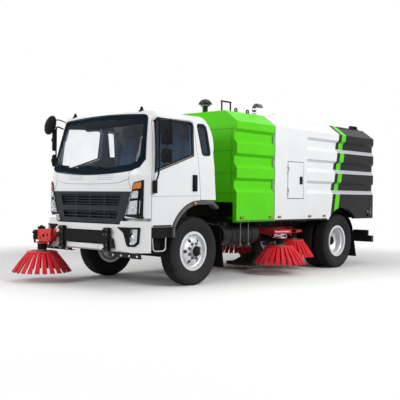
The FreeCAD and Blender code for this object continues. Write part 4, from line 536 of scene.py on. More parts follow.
# %% Metals
rim_silver = finish("rim_silver", "rim", (0.74, 0.75, 0.77), 0.38, metal=0.25, coat=0.2, size=500, depth=0.0001,
                    grime_top=0.9, grime_amount=0.12)
bare_steel = finish("bare_steel", "steel_pipe", (0.52, 0.52, 0.53), 0.34, metal=0.9, size=120, depth=0.0001,
                    stretch=12, drift=0.12, grime_amount=0.3)
bright_steel = finish("bright_steel", "lamp_lens", (0.72, 0.73, 0.75), 0.18, metal=1.0, size=120, depth=0.00005,
                      drift=0.04, grime_amount=0.12)
mirror_face = finish("mirror_face", "lamp_lens", (0.82, 0.83, 0.85), 0.03, metal=1.0, size=20, depth=0.0,
                     drift=0.01, grime_amount=0.02)
nut_steel = finish("nut_steel", "axle_iron", (0.12, 0.12, 0.125), 0.42, metal=0.6, size=300, drift=0.2)
flue_steel = finish("exhaust_steel", "steel_pipe", (0.030, 0.042, 0.040), 0.42, metal=0.2, size=160, depth=0.0001,
                    stretch=8, drift=0.25, grime_amount=0.1)

# %% Rubbers, plastics and cloth
GRAIN = {"size": 900, "sharp": 0.8}
moulded_black = finish("moulded_black_plastic", "dark_plastic", (0.008, 0.0083, 0.0095), 0.52, depth=0.00025,
                       drift=0.08, grime_amount=0.04, shine=0.06, **GRAIN)
flare_grey = finish("flare_grey_plastic", "dark_plastic", (0.075, 0.077, 0.085), 0.5, depth=0.00025, drift=0.08,
                    grime_amount=0.35, **GRAIN)
grille_black = finish("grille_charcoal_plastic", "dark_plastic", (0.011, 0.014, 0.019), 0.46, grime_amount=0.05,
                      shine=0.2, **GRAIN)
seal_rubber = finish("seal_rubber", "dark_plastic", (0.006, 0.0065, 0.008), 0.5, size=700, drift=0.15,
                     grime_amount=0.04, shine=0.1)
# Grey for the painted shadow line round the maintenance door's gap.
gap_shadow_grey = finish("painted_gap_shadow_grey", "dark_plastic", (0.16, 0.165, 0.17), 0.6, size=500, drift=0.1)
border_print = finish("printed_glass_border", "dark_plastic", (0.002, 0.009, 0.018), 0.6, size=700, depth=0.00005,
                      drift=0.1, grime_amount=0.0, shine=0.04)
dash_plastic = finish("dash_plastic", "trim", (0.026, 0.080, 0.145), 0.6, size=700, depth=0.0004, sharp=0.9,
                      grime_amount=0.05, shine=0.1)
seat_cloth = finish("seat_cloth", "trim", (0.028, 0.070, 0.120), 0.85, size=520, depth=0.0012, sharp=0.5,
                    drift=0.2, grime_amount=0.0, shine=0.1)
tread_rubber = finish("tyre_rubber", "tyre", (0.016, 0.0165, 0.018), 0.68, size=240, depth=0.0006, sharp=0.3,
                      drift=0.18, grime_top=0.75, grime_amount=0.08, shine=0.12)
bristle_red = finish("bristle_red", "bristle", (0.74, 0.012, 0.024), 0.42, size=260, depth=0.0008, stretch=0.15,
                     drift=0.16, grime_top=0.32, grime_amount=0.12)

# %% [markdown]
# The hopper's paint scheme is part of its look: a white front part, a slanted edge, a near-black
# rear part and a lime stripe beside the edge. The bands follow straight sloping lines on the real
# body, so they are worked out from the place along the truck and the height. The upward-facing
# ledges under the pressed recesses get a painted highlight: pale grey lines across the dark paint.

# %% The hopper's colour scheme
TROUGH_TOPS = [2.290 - n * 0.369 for n in range(3)]
EDGE, EDGE_Z, EDGE_SLOPE = along(3.47), 1.05, (3.72 - 3.47) / (2.40 - 1.05)
# Pale grey of the painted highlight that stands in for the sky's reflection on upward-facing ledges.
LEDGE_HIGHLIGHT_GREY = (0.50, 0.51, 0.54, 1)


def hopper_scheme_and_ledge_highlights(tree):
    """White, lime stripe and near black, split by sloping lines, with a painted highlight on the ledges of the dark
    part.
    """
    place = node(tree, "SeparateXYZ", in_0=object_place(tree)).outputs
    lean = node(tree, "Math", operation="MULTIPLY_ADD", in_0=place["Z"], in_1=-EDGE_SLOPE, in_2=EDGE_Z * EDGE_SLOPE)
    upright = maths(tree, "ADD", place["Y"], lean.outputs[0])
    last = (*WHITE, 1)
    for limit, colour in ((EDGE, NEAR_BLACK), (EDGE + 0.1, GREEN), (EDGE + 0.24, NEAR_BLACK)):
        last = blend(tree, maths(tree, "GREATER_THAN", upright, limit), last, (*colour, 1))
    # Painted highlight: the upward-facing ledge bands on the dark part are painted pale grey.
    for top in TROUGH_TOPS:
        over = maths(tree, "GREATER_THAN", place["Z"], top - 0.219)
        under = maths(tree, "LESS_THAN", place["Z"], top - 0.151)
        ledge = maths(tree, "MULTIPLY", over, under)
        ledge_highlight_mask = maths(tree, "MULTIPLY", ledge, maths(tree, "GREATER_THAN", upright, EDGE))
        last = blend(tree, ledge_highlight_mask, last, LEDGE_HIGHLIGHT_GREY)
    return last


hopper_paint = finish("hopper_paint_and_ledge_highlights", "white_paint", WHITE, 0.38, drift=0.03, grime_amount=0.03,
                      coloured=hopper_scheme_and_ledge_highlights, shine=0.14, **PANEL)

# %% [markdown]
# Inside the cab the steel is lined with dark cloth and trim. A face belongs to the inside when its
# own normal points back to the middle of the cab, and the same paint can then serve both sides.

# %% The cab's paint and its lining
CAB_MIDDLE = (0, along(-0.35), 1.65)
LINING = (0.034, 0.100, 0.180, 1)


def cab_scheme(tree):
    """White outside, and the lining's colour on faces that look towards the cab's middle."""
    spot = tree.nodes.new("ShaderNodeTexCoord").outputs
    away = node(tree, "VectorMath", operation="SUBTRACT", in_0=spot["Object"], in_1=CAB_MIDDLE)
    flatter = node(tree, "VectorMath", operation="MULTIPLY", in_0=away.outputs[0], in_1=(1.0, 1.0, 0.5))
    facing = node(tree, "VectorMath", operation="DOT_PRODUCT", in_0=flatter.outputs[0], in_1=spot["Normal"])
    return blend(tree, maths(tree, "LESS_THAN", facing.outputs["Value"], -0.02), (*WHITE, 1), LINING)


cab_paint = finish("cab_paint_and_lining", "white_paint", WHITE, 0.34, coat=0.2, drift=0.02, grime_amount=0.08,
                   coloured=cab_scheme, **PANEL)

# %% [markdown]
# Window glass lets light through and has a little tint. Lamp lenses are clear plastic with fine
# flutes; their colour comes from what lies behind, or from the plastic in an amber or red one.

# %% Glass and lenses
def clear(name, colour, rough, through=1.0, flutes=0, bend=1.45):
    made, tree, shader = material(name, colour, 0.5)
    drifted = ramp(tree, skin_of(tree, in_Size=60.0)["Blotch"], 0.3, 0.7, 0.93, 1.0)
    feed(tree, shader, in_Roughness=rough, in_Transmission_Weight=through, in_IOR=bend,
         in_Base_Color=blend(tree, 1.0, (*colour, 1), drifted, blend_type="MULTIPLY"))
    if flutes:
        wave = node(tree, "TexWave", bands_direction="X", in_Scale=flutes, in_Vector=object_place(tree))
        bump = node(tree, "Bump", in_Strength=0.5, in_Distance=0.003, in_Height=wave.outputs[0])
        feed(tree, shader, in_Normal=bump.outputs[0])
    return made


window_glass = clear("tinted_window_glass", (0.955, 0.975, 0.985), 0.01, bend=1.2)
band_glass = clear("sun_band_glass", (0.04, 0.13, 0.20), 0.03, bend=1.2)
lens_clear = clear("clear_lens", (0.93, 0.95, 0.97), 0.05, 0.85, 30)
lens_amber = clear("amber_lens", (0.95, 0.30, 0.03), 0.12, 0.35, 34)
lens_red = clear("red_lens", (0.62, 0.01, 0.01), 0.12, 0.3, 34)
print("finishes", len(bpy.data.materials))

# %% [markdown]
# The solids that keep their shape now get their finishes. A name that ends in a stroke stands for
# the left and the right one.

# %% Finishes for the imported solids
SOLIDS = (
    (frame_black, "frame_rails subframe suction_nozzle"),
    (iron, "front_axle rear_axle powertrain knuckle_"),
    (gloss_black, "side_tanks rear_guard roof_fittings"),
    (cab_white, "front_bumper access_door"),
    (moulded_black, "lamps brush_carrier mudguards headlamps mirrors_"),
    (module_green, "module_shell"),
    (flue_steel, "exhaust_pipe"),
    (tread_rubber, "tyre_front_ tyres_rear_"),
    (rim_silver, "rim_front_ rims_rear_"),
    (cab_paint, "cab_shell door_"),
    (window_glass, "cab_glass door_glass_"),
    (grille_black, "grille"),
    (dash_plastic, "cab_interior"),
    (flare_grey, "fender_flares"),
    (hopper_paint, "hopper_shell tailgate"),
    (arm_red, "front_brush_arm side_brush_arm_"),
    (bristle_red, "brush_front brush_mid_ brush_inner_"),
)
dressed = 0
for paint, labels in SOLIDS:
    for label in labels.split():
        for name in ([label + word for side, word, out in SIDES] if label.endswith("_") else [label]):
            NODES[name].data.materials.clear()
            NODES[name].data.materials.append(paint)
            dressed += 1
print("solids dressed", dressed, "of", len(NODES))

# %% [markdown]
# ## Tyres
# A truck tyre is a closed ring whose section is known, so it is spun about its axle. The tread of a
# steer tyre has zigzag grooves all the way round and short notches along both shoulders. The grooves
# are part of the spun section; their edges are then pushed sideways step by step, and the notches
# are faces of the shoulder that are sunk in edit mode.

# %% Tyre section
TYRE_RADIUS, TYRE_HALF, BEAD = 0.487, 0.1175, 0.28
GROOVES, GROOVE_TOP, GROOVE_FOOT, GROOVE_DEPTH = (0.018, 0.058), 0.0055, 0.0035, 0.013
ZIGZAG, TYRE_STEPS = 0.0028, 112


def tyre_section():
    """The closed section of (radius, distance across), from one bead round the tread to the other."""
    half = [
        (BEAD, 0.078), (BEAD + 0.012, 0.0875), (0.304, 0.0905), (0.306, 0.0935), (0.315, 0.0955), (0.34, 0.1065),
        (0.372, 0.115), (0.4, TYRE_HALF), (0.402, TYRE_HALF - 0.0012), (0.412, TYRE_HALF - 0.0012),
        (0.414, TYRE_HALF), (0.438, 0.114), (0.452, 0.1075), (0.47, 0.1045), (0.4795, 0.099), (0.4825, 0.09),
    ]
    for centre in reversed(GROOVES):
        top = TYRE_RADIUS - 0.0035 * (centre / 0.09) ** 2
        foot = top - GROOVE_DEPTH
        half += [(top, centre + GROOVE_TOP), (foot, centre + GROOVE_FOOT),
                 (foot, centre - GROOVE_FOOT), (top, centre - GROOVE_TOP)]
    inside = [(0.3, 0.07), (0.36, 0.098), (0.42, 0.102), (0.458, 0.088), (0.466, 0.04)]
    return half + [(r, -x) for r, x in half[::-1]] + [(r, -x) for r, x in inside] + inside[::-1]


def tyre():
    piece = turned(tyre_section(), (0, 0, 0), "x", TYRE_STEPS, 32)
    step = 2 * math.pi / TYRE_STEPS
    widths = (-GROOVE_TOP, -GROOVE_FOOT, GROOVE_FOOT, GROOVE_TOP)
    edges = [side * (g + d) for g in GROOVES for d in widths for side in (-1, 1)]
    for point in piece.data.vertices:
        x, y, z = point.co
        if math.hypot(y, z) > 0.465 and min(abs(x - e) for e in edges) < 0.0004:
            turn = round(math.atan2(z, y) / step)
            point.co.x += ZIGZAG if (turn // 2) % 2 else -ZIGZAG
    only(piece)
    bpy.ops.object.mode_set(mode="EDIT")
    bpy.ops.mesh.select_mode(type="FACE")
    bpy.ops.mesh.select_all(action="DESELECT")
    for face in bmesh.from_edit_mesh(piece.data).faces:
        x, y, z = face.calc_center_median()
        turn = math.floor(math.atan2(z, y) / step)
        if 0.4455 < math.hypot(y, z) < 0.4815 and abs(x) > 0.093 and turn % 2 == 0:
            face.select = True
    bmesh.update_edit_mesh(piece.data)
    bpy.ops.mesh.inset(thickness=0.0008, use_individual=False)
    bpy.ops.transform.shrink_fatten(value=-0.0075)
    bpy.ops.object.mode_set(mode="OBJECT")
    return smooth(piece, 32)


# %% [markdown]
# Six tyres are the same, so one is made and copied. Twin tyres ride as one body.

# %% Fitting the tyres
FRONT_TYRE_X, REAR_OUTER_X, DUAL_SPACING = 0.882, 0.912, 0.28
pattern = tyre()
TWINS = [REAR_OUTER_X, REAR_OUTER_X - DUAL_SPACING]
for side, word, out in SIDES:
    for tread, wheel, solid, y, places in (("tread_front", "wheel_front", "tyre_front", 0, [FRONT_TYRE_X]),
                                           ("treads_rear", "wheels_rear", "tyres_rear", WHEELBASE, TWINS)):
        tyres = [copy_of(pattern, Matrix.Translation((side * x, along(y), AXLE_Z))) for x in places]
        fit(f"{tread}_{word}", tyres, f"{wheel}_{word}", tread_rubber, replaces=[f"{solid}_{word}"])
print("tyre faces", len(pattern.data.polygons))
bpy.data.objects.remove(pattern)

# %% [markdown]
# ## Wheel nuts and hub caps
# Each wheel is held by a ring of studs with chamfered nuts, around a black hub with a cap. A nut is a
# six-sided cylinder with its rims bevelled.

# %% Nuts, studs, hubs and valves
NUT_COUNT, NUT_CIRCLE = 8, 0.11


def nut_ring(x, side, out, centre_y):
    """Nuts on studs around an axle, on the face at x."""
    ring = []
    for n in range(NUT_COUNT):
        angle = 2 * math.pi * (n + 0.5) / NUT_COUNT
        y, z = centre_y + NUT_CIRCLE * math.cos(angle), AXLE_Z + NUT_CIRCLE * math.sin(angle)
        deselect()
        bpy.ops.mesh.primitive_cylinder_add(vertices=6, radius=0.0175, depth=0.024, location=(x + side * 0.012, y, z),
                                            rotation=(angle, math.pi / 2, 0))
        ring += [bevel(settle(bpy.context.object), 0.0025, 1),
                 turned(disc_profile(0.021, 0.004, 0.001), (x, y, z), out, 16),
                 turned(disc_profile(0.0095, 0.04, 0.002), (x, y, z), out, 12)]
    return smooth(merged(ring))


def hub_profile(r, length):
    """A stepped hub: a flange, a barrel, a rim of small bolts' height and a domed cap."""
    return [(0, -0.006), (r, -0.006), (r + 0.004, 0.004), (r - 0.006, 0.01), (r - 0.01, length - 0.014),
            (r - 0.003, length - 0.012), (r - 0.003, length - 0.004), (r - 0.01, length), (r * 0.62, length),
            (r * 0.6, length + 0.006), (r * 0.3, length + 0.012), (0, length + 0.013)]


for end, wheel, face_x, y, radius, length in (("front", "wheel_front", 0.978, along(0.0), 0.08, 0.056),
                                              ("rear", "wheels_rear", 0.784, along(WHEELBASE), 0.082, 0.104)):
    for side, word, out in SIDES:
        body = f"{wheel}_{word}"
        fit(f"nuts_{end}_{word}", nut_ring(side * face_x, side, out, y), body, nut_steel)
        hub = turned(hub_profile(radius, length), (side * face_x, y, AXLE_Z), out, 40)
        fit(f"hub_{end}_{word}", hub, body, moulded_black)
        valve = tube([(side * (face_x - 0.03), y + 0.19, AXLE_Z + 0.08),
                      (side * (face_x + 0.005), y + 0.205, AXLE_Z + 0.087)], 0.004, 8)
        fit(f"valve_{end}_{word}", valve, body, bright_steel)
print("wheels fitted")

# %% [markdown]
# ## Windows
# The windscreen is glued in: the glass has a printed black border that hides the glue, and a rubber
# lip closes the gap. Both are rings, drawn as seen from the front and pressed on to the glass and
# on to the cab's skin. The sun band along the top is a darker strip of the same glass.

# %% Windscreen
def symmetric(rise, top, middle, foot):
    """A closed outline that is the same on both sides, from the points of its left half."""
    return [*rise, (0, top), *flipped(rise[::-1], -1), *flipped(foot[::-1], -1), (0, middle), *foot]


WINDSCREEN = symmetric(
    [(0.8, 1.606), (0.912, 1.65), (0.958, 1.748), (0.88, 2.3), (0.862, 2.338), (0.82, 2.354), (0.6, 2.369),
     (0.4, 2.378), (0.2, 2.384)], 2.386, 1.556, [(0.2, 1.559), (0.4, 1.5685), (0.6, 1.584)])
SCREEN_CLEAR = symmetric(
    [(0.77, 1.69), (0.842, 1.722), (0.885, 1.79), (0.822, 2.238), (0.802, 2.272), (0.766, 2.29), (0.58, 2.304),
     (0.39, 2.312), (0.2, 2.318)], 2.32, 1.642, [(0.2, 1.645), (0.39, 1.654), (0.58, 1.669)])
SUN_BAND = symmetric([(0.822, 2.238), (0.802, 2.272), (0.766, 2.29), (0.42, 2.312)], 2.32, 2.208, [(0.42, 2.215)])
RUBBER_OUTER, RUBBER_INNER = grown(WINDSCREEN, 0.012), grown(WINDSCREEN, 0.0015)
fit("windscreen_border", pressed(grown(WINDSCREEN, -0.002), "front", "cab_glass", SCREEN_CLEAR, 0.0015, 0.001),
    "cab", border_print)
fit("windscreen_rubber", pressed(RUBBER_OUTER, "front", "cab_shell", RUBBER_INNER, 0.002, 0.006), "cab", seal_rubber)
fit("windscreen_sun_band", pressed(SUN_BAND, "front", "cab_glass", None, 0.001, 0.001), "cab", band_glass)

# %% Side windows
DOOR_WINDOW = [
    (-0.842, 1.592), (-0.822, 1.9), (-0.8, 2.225), (-0.786, 2.278), (-0.738, 2.298), (-0.432, 2.298),
    (-0.126, 2.298), (-0.084, 2.284), (-0.07, 2.24), (-0.092, 1.838), (-0.46, 1.715),
]
QUARTER_WINDOW = [
    (0.06, 2.285), (0.165, 2.285), (0.205, 2.262), (0.218, 2.215), (0.268, 1.895), (0.258, 1.868), (0.228, 1.86),
    (0.142, 1.86), (0.116, 1.872), (0.108, 1.898), (0.036, 2.258), (0.04, 2.278),
]
for side, word, out in SIDES:
    for name, outline, skin, glass, body in (
        ("door_window", DOOR_WINDOW, f"door_{word}", f"door_glass_{word}", f"door_{word}"),
        ("quarter_window", QUARTER_WINDOW, "cab_shell", "cab_glass", "cab"),
    ):
        shape = [(along(y), z) for y, z in outline]
        for part, node_name, outer, inner, lift, thick in (("rubber", skin, 0.016, 0.001, 0.0015, 0.005),
                                                           ("border", glass, -0.002, -0.024, 0.001, 0.001)):
            ring = pressed(grown(shape, outer), "side", node_name, grown(shape, inner), lift, thick, side=side)
            fit(f"{name}_{part}_{word}", ring, body, seal_rubber)
print("windows trimmed")

# %% [markdown]
# ## Front panel
# The flap above the grille has a shallow shut line round it and two groups of three short pressed
# ribs. Shut lines are narrow dark strips pressed on to the skin. A pale grey strip below each rib
# and crease is the soft shadow that it casts in the photograph's light.

# %% Shut lines and pressed ribs
def front_strip(points, side, width, lift, thick):
    return strip(flipped(points, side), width, "front", "cab_shell", lift, thick)


SEAM = [(0.772, 1.585), (0.775, 1.5), (0.782, 1.43), (0.815, 1.352)]
BROW = [(0.772, 1.5), (0.6, 1.452), (0.4, 1.438), (0.0, 1.432)]
RIB_HEIGHTS = (1.545, 1.517, 1.489)
for side, word, out in SIDES:
    fit(f"flap_seam_{word}", front_strip(SEAM, side, 0.005, 0.0004, 0.001), "cab", seal_rubber)
    fit(f"flap_brow_{word}", front_strip(BROW, side, 0.016, 0.001, 0.008), "cab", cab_white)
    ribs = [[(0.16, z), (0.32, z), (0.48, z + 0.004)] for z in RIB_HEIGHTS]
    fit(f"flap_ribs_{word}", [front_strip(rib, side, 0.011, 0.001, 0.007) for rib in ribs], "cab", cab_white)
    shadows = [front_strip([(x, z - 0.012) for x, z in BROW], side, 0.008, 0.001, 0.003)]
    shadows += [front_strip([(x, z - 0.008) for x, z in rib], side, 0.005, 0.001, 0.003) for rib in ribs]
    fit(f"flap_shadows_{word}", shadows, "cab", crease_shadow)
    for name, z, width, thick, paint in (("shadow_", 1.254, 0.006, 0.002, crease_shadow),
                                         ("", 1.262, 0.01, 0.004, cab_white)):
        line = [(along(-0.895), z), (along(-0.45), z + 0.01), (along(0.05), z + 0.022)]
        fit(f"door_crease_{name}{word}", strip(line, width, "side", f"door_{word}", 0.0012, thick, side),
            f"door_{word}", paint)

# %% [markdown]
# ## Wipers
# Two wipers rest along the foot of the windscreen. Each has a turned pivot, a bent arm, a clip and a
# rubber blade in a thin carrier. The blade is pressed on to the glass.

# %% Wipers
def windscreen_y(x, z):
    return depth_at("cab_glass", x, z) or along(-1.07)


def wiper(name, pivot_x, tip_x, pivot_z, tip_z):
    pivot_y = windscreen_y(pivot_x, pivot_z + 0.06) - 0.03
    reach, rise = tip_x - pivot_x, tip_z - pivot_z
    blade = [(pivot_x + reach * t, pivot_z + 0.035 + rise * t) for t in (0.28, 0.46, 0.64, 0.82, 1.0)]
    x, z = blade[2]
    glass_y = windscreen_y(x, z)
    elbow_x, elbow_z = pivot_x + reach * 0.16, pivot_z + 0.016
    elbow = (elbow_x, windscreen_y(elbow_x, elbow_z + 0.07) - 0.035, elbow_z)
    fit(name, [
        strip(blade, 0.012, "front", "cab_glass", 0.007, 0.009),
        strip(blade, 0.02, "front", "cab_glass", 0.014, 0.006),
        tube([(pivot_x, pivot_y, pivot_z), elbow, (x, glass_y - 0.022, z)], 0.006, 8, 0.05),
        turned(disc_profile(0.015, 0.034, 0.006), (pivot_x, pivot_y + 0.02, pivot_z), "-y", 20),
        slab((x - 0.03, glass_y - 0.032, z - 0.012), (x + 0.03, glass_y - 0.012, z + 0.012), 0.004),
    ], "cab", moulded_black)


wiper("wiper_left", 0.34, -0.32, 1.628, 1.64)
wiper("wiper_right", -0.4, -0.9, 1.63, 1.672)

# %% [markdown]
# ## Head lamps
# Each lamp is a dark housing wrapped round the cab's corner. Bright reflectors lie under three
# clear or amber lenses. A lens is pressed on to the housing a little proud of its reflector, and the
# frame between them stands out slightly.

# %% Head lamps
LAMP_FRAME = [(0.722, 0.995), (0.976, 0.995), (0.982, 1.468), (0.872, 1.435), (0.842, 1.338)]
LENSES = (
    ("turn", [(0.858, 1.348), (0.966, 1.362), (0.97, 1.45), (0.878, 1.424)], lens_amber),
    ("upper", [(0.822, 1.224), (0.932, 1.234), (0.938, 1.334), (0.85, 1.32)], lens_clear),
    ("lower", [(0.758, 1.014), (0.922, 1.02), (0.93, 1.204), (0.806, 1.19)], lens_clear),
)
BOWLS = (("dip", 0.868, 1.13, 0.03), ("main", 0.846, 1.066, 0.026), ("side", 0.886, 1.286, 0.024))
for side, word, out in SIDES:
    rim = pressed(flipped(LAMP_FRAME, side), "front", "headlamps", flipped(grown(LAMP_FRAME, -0.014), side), 0.004,
                  0.009)
    fit(f"lamp_frame_{word}", rim, "cab", gloss_black)
    for label, outline, lens in LENSES:
        shape = flipped(rounded_outline(outline, 0.012, 3), side)
        fit(f"lamp_reflector_{label}_{word}", pressed(shape, "front", "headlamps", None, 0.0015, 0.002, 0.02), "cab",
            bright_steel)
        fit(f"lamp_lens_{label}_{word}", pressed(shape, "front", "headlamps", None, 0.01, 0.003, 0.03), "cab", lens)
        fit(f"lamp_bezel_{label}_{word}", pressed(grown(shape, 0.009), "front", "headlamps", shape, 0.007, 0.01), "cab",
            gloss_black)
    for label, x, z, r in BOWLS:
        bowl = [(0, -0.002), (r * 0.5, 0.001), (r, 0.0065), (r + 0.003, 0.0065), (r + 0.003, -0.004), (0, -0.004)]
        place = (side * x, depth_at("headlamps", side * x, z), z)
        fit(f"lamp_bowl_{label}_{word}", turned(bowl, place, "-y", 28), "cab", bright_steel)
    inner_edge = flipped([(0.742, 1.006), (0.846, 1.33), (0.876, 1.424)], side)
    fit(f"lamp_strip_{word}", strip(inner_edge, 0.007, "front", "headlamps", 0.01, 0.003), "cab", bright_steel)
    outer_edge = flipped([(0.95, 1.03), (0.958, 1.2)], side)
    fit(f"lamp_strip_outer_{word}", strip(outer_edge, 0.006, "front", "headlamps", 0.008, 0.003), "cab", bare_steel)
    # A dark strip under each lamp is painted shadow along the cab's lower edge.
    under = flipped([(0.716, 0.962), (0.985, 0.962), (0.985, 0.99), (0.722, 0.99)], side)
    fit(f"lamp_shadow_strip_{word}", pressed(under, "front", "cab_shell", None, 0.002, 0.004), "cab", seal_rubber)
print("head lamps made")

# %% [markdown]
# ## Mirrors, handles and small lamps
# A mirror's face is a bright pane in the back of its rounded housing. Two housings hang from one
# bent arm; the left ones face the driver, and the right ones are turned further round. The door
# handle is a dark tray with a pull bar. Marker lamps are small domes on rubber pads.

# %% Mirrors
ARM_X, ARM_Y = 1.112, along(-0.85)
HEAD_BOSS = [(0, -0.004), (0.03, -0.004), (0.03, 0.004), (0.022, 0.012), (0, 0.015)]
for (side, word, out), yaw in zip(SIDES, (12, -34)):
    in_place = (Matrix.Translation((side * 1.212, along(-0.805), 0)) @ Matrix.Rotation(math.radians(yaw), 4, "Z"),)
    arm_x, panes = side * ARM_X, []
    housings = [
        slab((side * 1.04, along(-0.902), 1.298), (side * 1.082, along(-0.838), 1.47), 0.012, 3),
        tube([(side * 1.066, along(-0.868), 1.43), (arm_x, ARM_Y, 1.56), (arm_x, ARM_Y, 2.315),
              (side * 0.975, along(-0.825), 2.262)], 0.012, 12, 0.06),
    ]
    for low, high, half in ((1.94, 2.275, 0.084), (1.7, 1.885, 0.08)):
        z = (low + high) / 2
        housings += [moved(slab((-half, -0.036, low), (half, 0.03, high), 0.03, 4), *in_place),
                     moved(turned(HEAD_BOSS, (0, -0.036, z), "-y", 24), *in_place),
                     tube([(arm_x, ARM_Y, z), (side * 1.195, along(-0.815), z)], 0.01, 8)]
        edge = half - 0.016
        panes.append(moved(slab((-edge, 0.026, low + 0.022), (edge, 0.033, high - 0.022), 0.003, 2), *in_place))
    fit(f"mirror_housings_{word}", housings, f"door_{word}", moulded_black, replaces=[f"mirrors_{word}"])
    fit(f"mirror_panes_{word}", panes, f"door_{word}", mirror_face)

# %% [markdown]
# On the right a wide-angle mirror stands above the long one. Its oval dish is a turned bowl that is
# flattened and tipped, on a bent arm that comes from the top of the door.

# %% Wide-angle mirror
DISH = (-1.165, along(-0.925), 2.322)
TIP = (Matrix.Translation(DISH) @ Matrix.Rotation(math.radians(16), 4, "X") @ Matrix.Rotation(math.radians(-36), 4, "Y")
       @ Matrix.Diagonal((1.4, 1.0, 0.74, 1.0)))
bowl = turned([(0, 0.04), (0.06, 0.036), (0.105, 0.024), (0.136, 0.004), (0.14, -0.006), (0.132, -0.01), (0, -0.01)],
              (0, 0, 0), "-y", 40)
pane = turned([(0, -0.013), (0.07, -0.0125), (0.126, -0.011), (0.126, -0.008), (0, -0.008)], (0, 0, 0), "-y", 40)
fit("wide_angle_mirror", [
    moved(bowl, TIP),
    tube([(DISH[0] + 0.12, DISH[1] + 0.01, DISH[2] + 0.07), (-1.02, along(-0.88), 2.402), (-0.905, along(-0.8), 2.35)],
         0.009, 10, 0.03),
    tube([(-1.15, along(-0.9), 2.27), (-1.112, along(-0.862), 2.3), (-1.112, along(-0.85), 2.24)], 0.009, 10, 0.02),
], "door_right", moulded_black)
fit("wide_angle_mirror_pane", moved(pane, TIP), "door_right", mirror_face)

# %% Door handles
for side, word, out in SIDES:
    fit(f"door_handle_{word}", [
        slab((side * 1.0385, along(-0.114), 1.334), (side * 1.0635, along(-0.026), 1.566), 0.01, 3),
        slab((side * 1.06, along(-0.104), 1.372), (side * 1.071, along(-0.066), 1.552), 0.005, 2),
        turned(disc_profile(0.011, 0.006, 0.002), (side * 1.062, along(-0.07), 1.352), out, 20),
    ], f"door_{word}", moulded_black)
    sill = [(along(-0.88), 0.862), (along(-0.53), 0.862)]
    fit(f"door_step_edge_{word}", strip(sill, 0.022, "side", f"door_{word}", 0.001, 0.004, side), f"door_{word}",
        seal_rubber)

# %% Marker lamps
def dome_lamp(name, place, axis, radius, body):
    """A round pad with a low amber dome on it."""
    pad = [(0, -0.004), (radius * 1.25, -0.004), (radius * 1.25, 0.004), (radius * 1.1, 0.007), (0, 0.007)]
    dome = [(0, 0.0), (radius, 0.0), (radius, 0.008), (radius * 0.86, 0.019), (radius * 0.5, 0.027), (0, 0.03)]
    fit(f"{name}_pad", turned(pad, place, axis, 24), body, moulded_black)
    fit(name, turned(dome, place, axis, 24), body, lens_amber)


for side, word, out in SIDES:
    x, y = side * 0.715, along(-0.8)
    fit(f"roof_marker_{word}", [
        turned([(0, -0.012), (0.042, -0.012), (0.04, 0.004), (0.026, 0.012), (0, 0.012)], (x, y, 2.42), "z", 24),
        turned([(0, 0.0), (0.026, 0.0), (0.024, 0.018), (0.015, 0.042), (0.006, 0.052), (0, 0.053)], (x, y, 2.43), "z",
               24),
    ], "cab", moulded_black)
    dome_lamp(f"flare_marker_{word}", (side * 1.0605, along(-0.09), 1.165), out, 0.028, "cab")

# %% [markdown]
# ## Bumper
# The fog lamps sit in angled dark frames. Two black clamp plates hold the brush carrier with bolts.

# %% Fog lamps
FOG = [(0.64, 0.842), (0.985, 0.842), (0.975, 0.64), (0.935, 0.596), (0.836, 0.596), (0.76, 0.77)]
FOG_LENS = [(0.752, 0.82), (0.958, 0.82), (0.949, 0.652), (0.918, 0.62), (0.856, 0.62), (0.796, 0.766)]
for side, word, out in SIDES:
    ring = pressed(flipped(grown(FOG, 0.004), side), "front", "front_bumper", flipped(grown(FOG_LENS, 0.002), side),
                   0.004, 0.01)
    fit(f"fog_frame_{word}", ring, "chassis", moulded_black)
    shape = flipped(rounded_outline(FOG_LENS, 0.012, 3), side)
    for part, lift, thick, cells, look in (("reflector", 0.003, 0.001, 0.02, bright_steel),
                                           ("lens", 0.009, 0.003, 0.03, lens_clear)):
        fit(f"fog_{part}_{word}", pressed(shape, "front", "front_bumper", None, lift, thick, cells), "chassis", look)

# %% Bolts
def bolt_heads(name, places, axis, r, body, finish=nut_steel):
    """Six-sided bolt heads on washers, all alike, at the given places."""
    head = [(0, 0.002), (r * 0.86, 0.002), (r, 0.004), (r, 0.01), (r * 0.84, 0.0125), (0, 0.0125)]
    washer = [(0, -0.001), (r * 1.35, -0.001), (r * 1.35, 0.0025), (0, 0.0025)]
    pattern = merged([turned(head, (0, 0, 0), axis, 6, 20), turned(washer, (0, 0, 0), axis, 14)])
    heads = [copy_of(pattern, Matrix.Translation(place)) for place in places]
    bpy.data.objects.remove(pattern)
    fit(name, heads, body, finish)


# %% [markdown]
# Behind the grille's bars lies a fine screen of thin slats on a dark sheet. A cooling pack with
# upright fins fills the space between the rails, and a black valance with hooks hangs under the bumper.

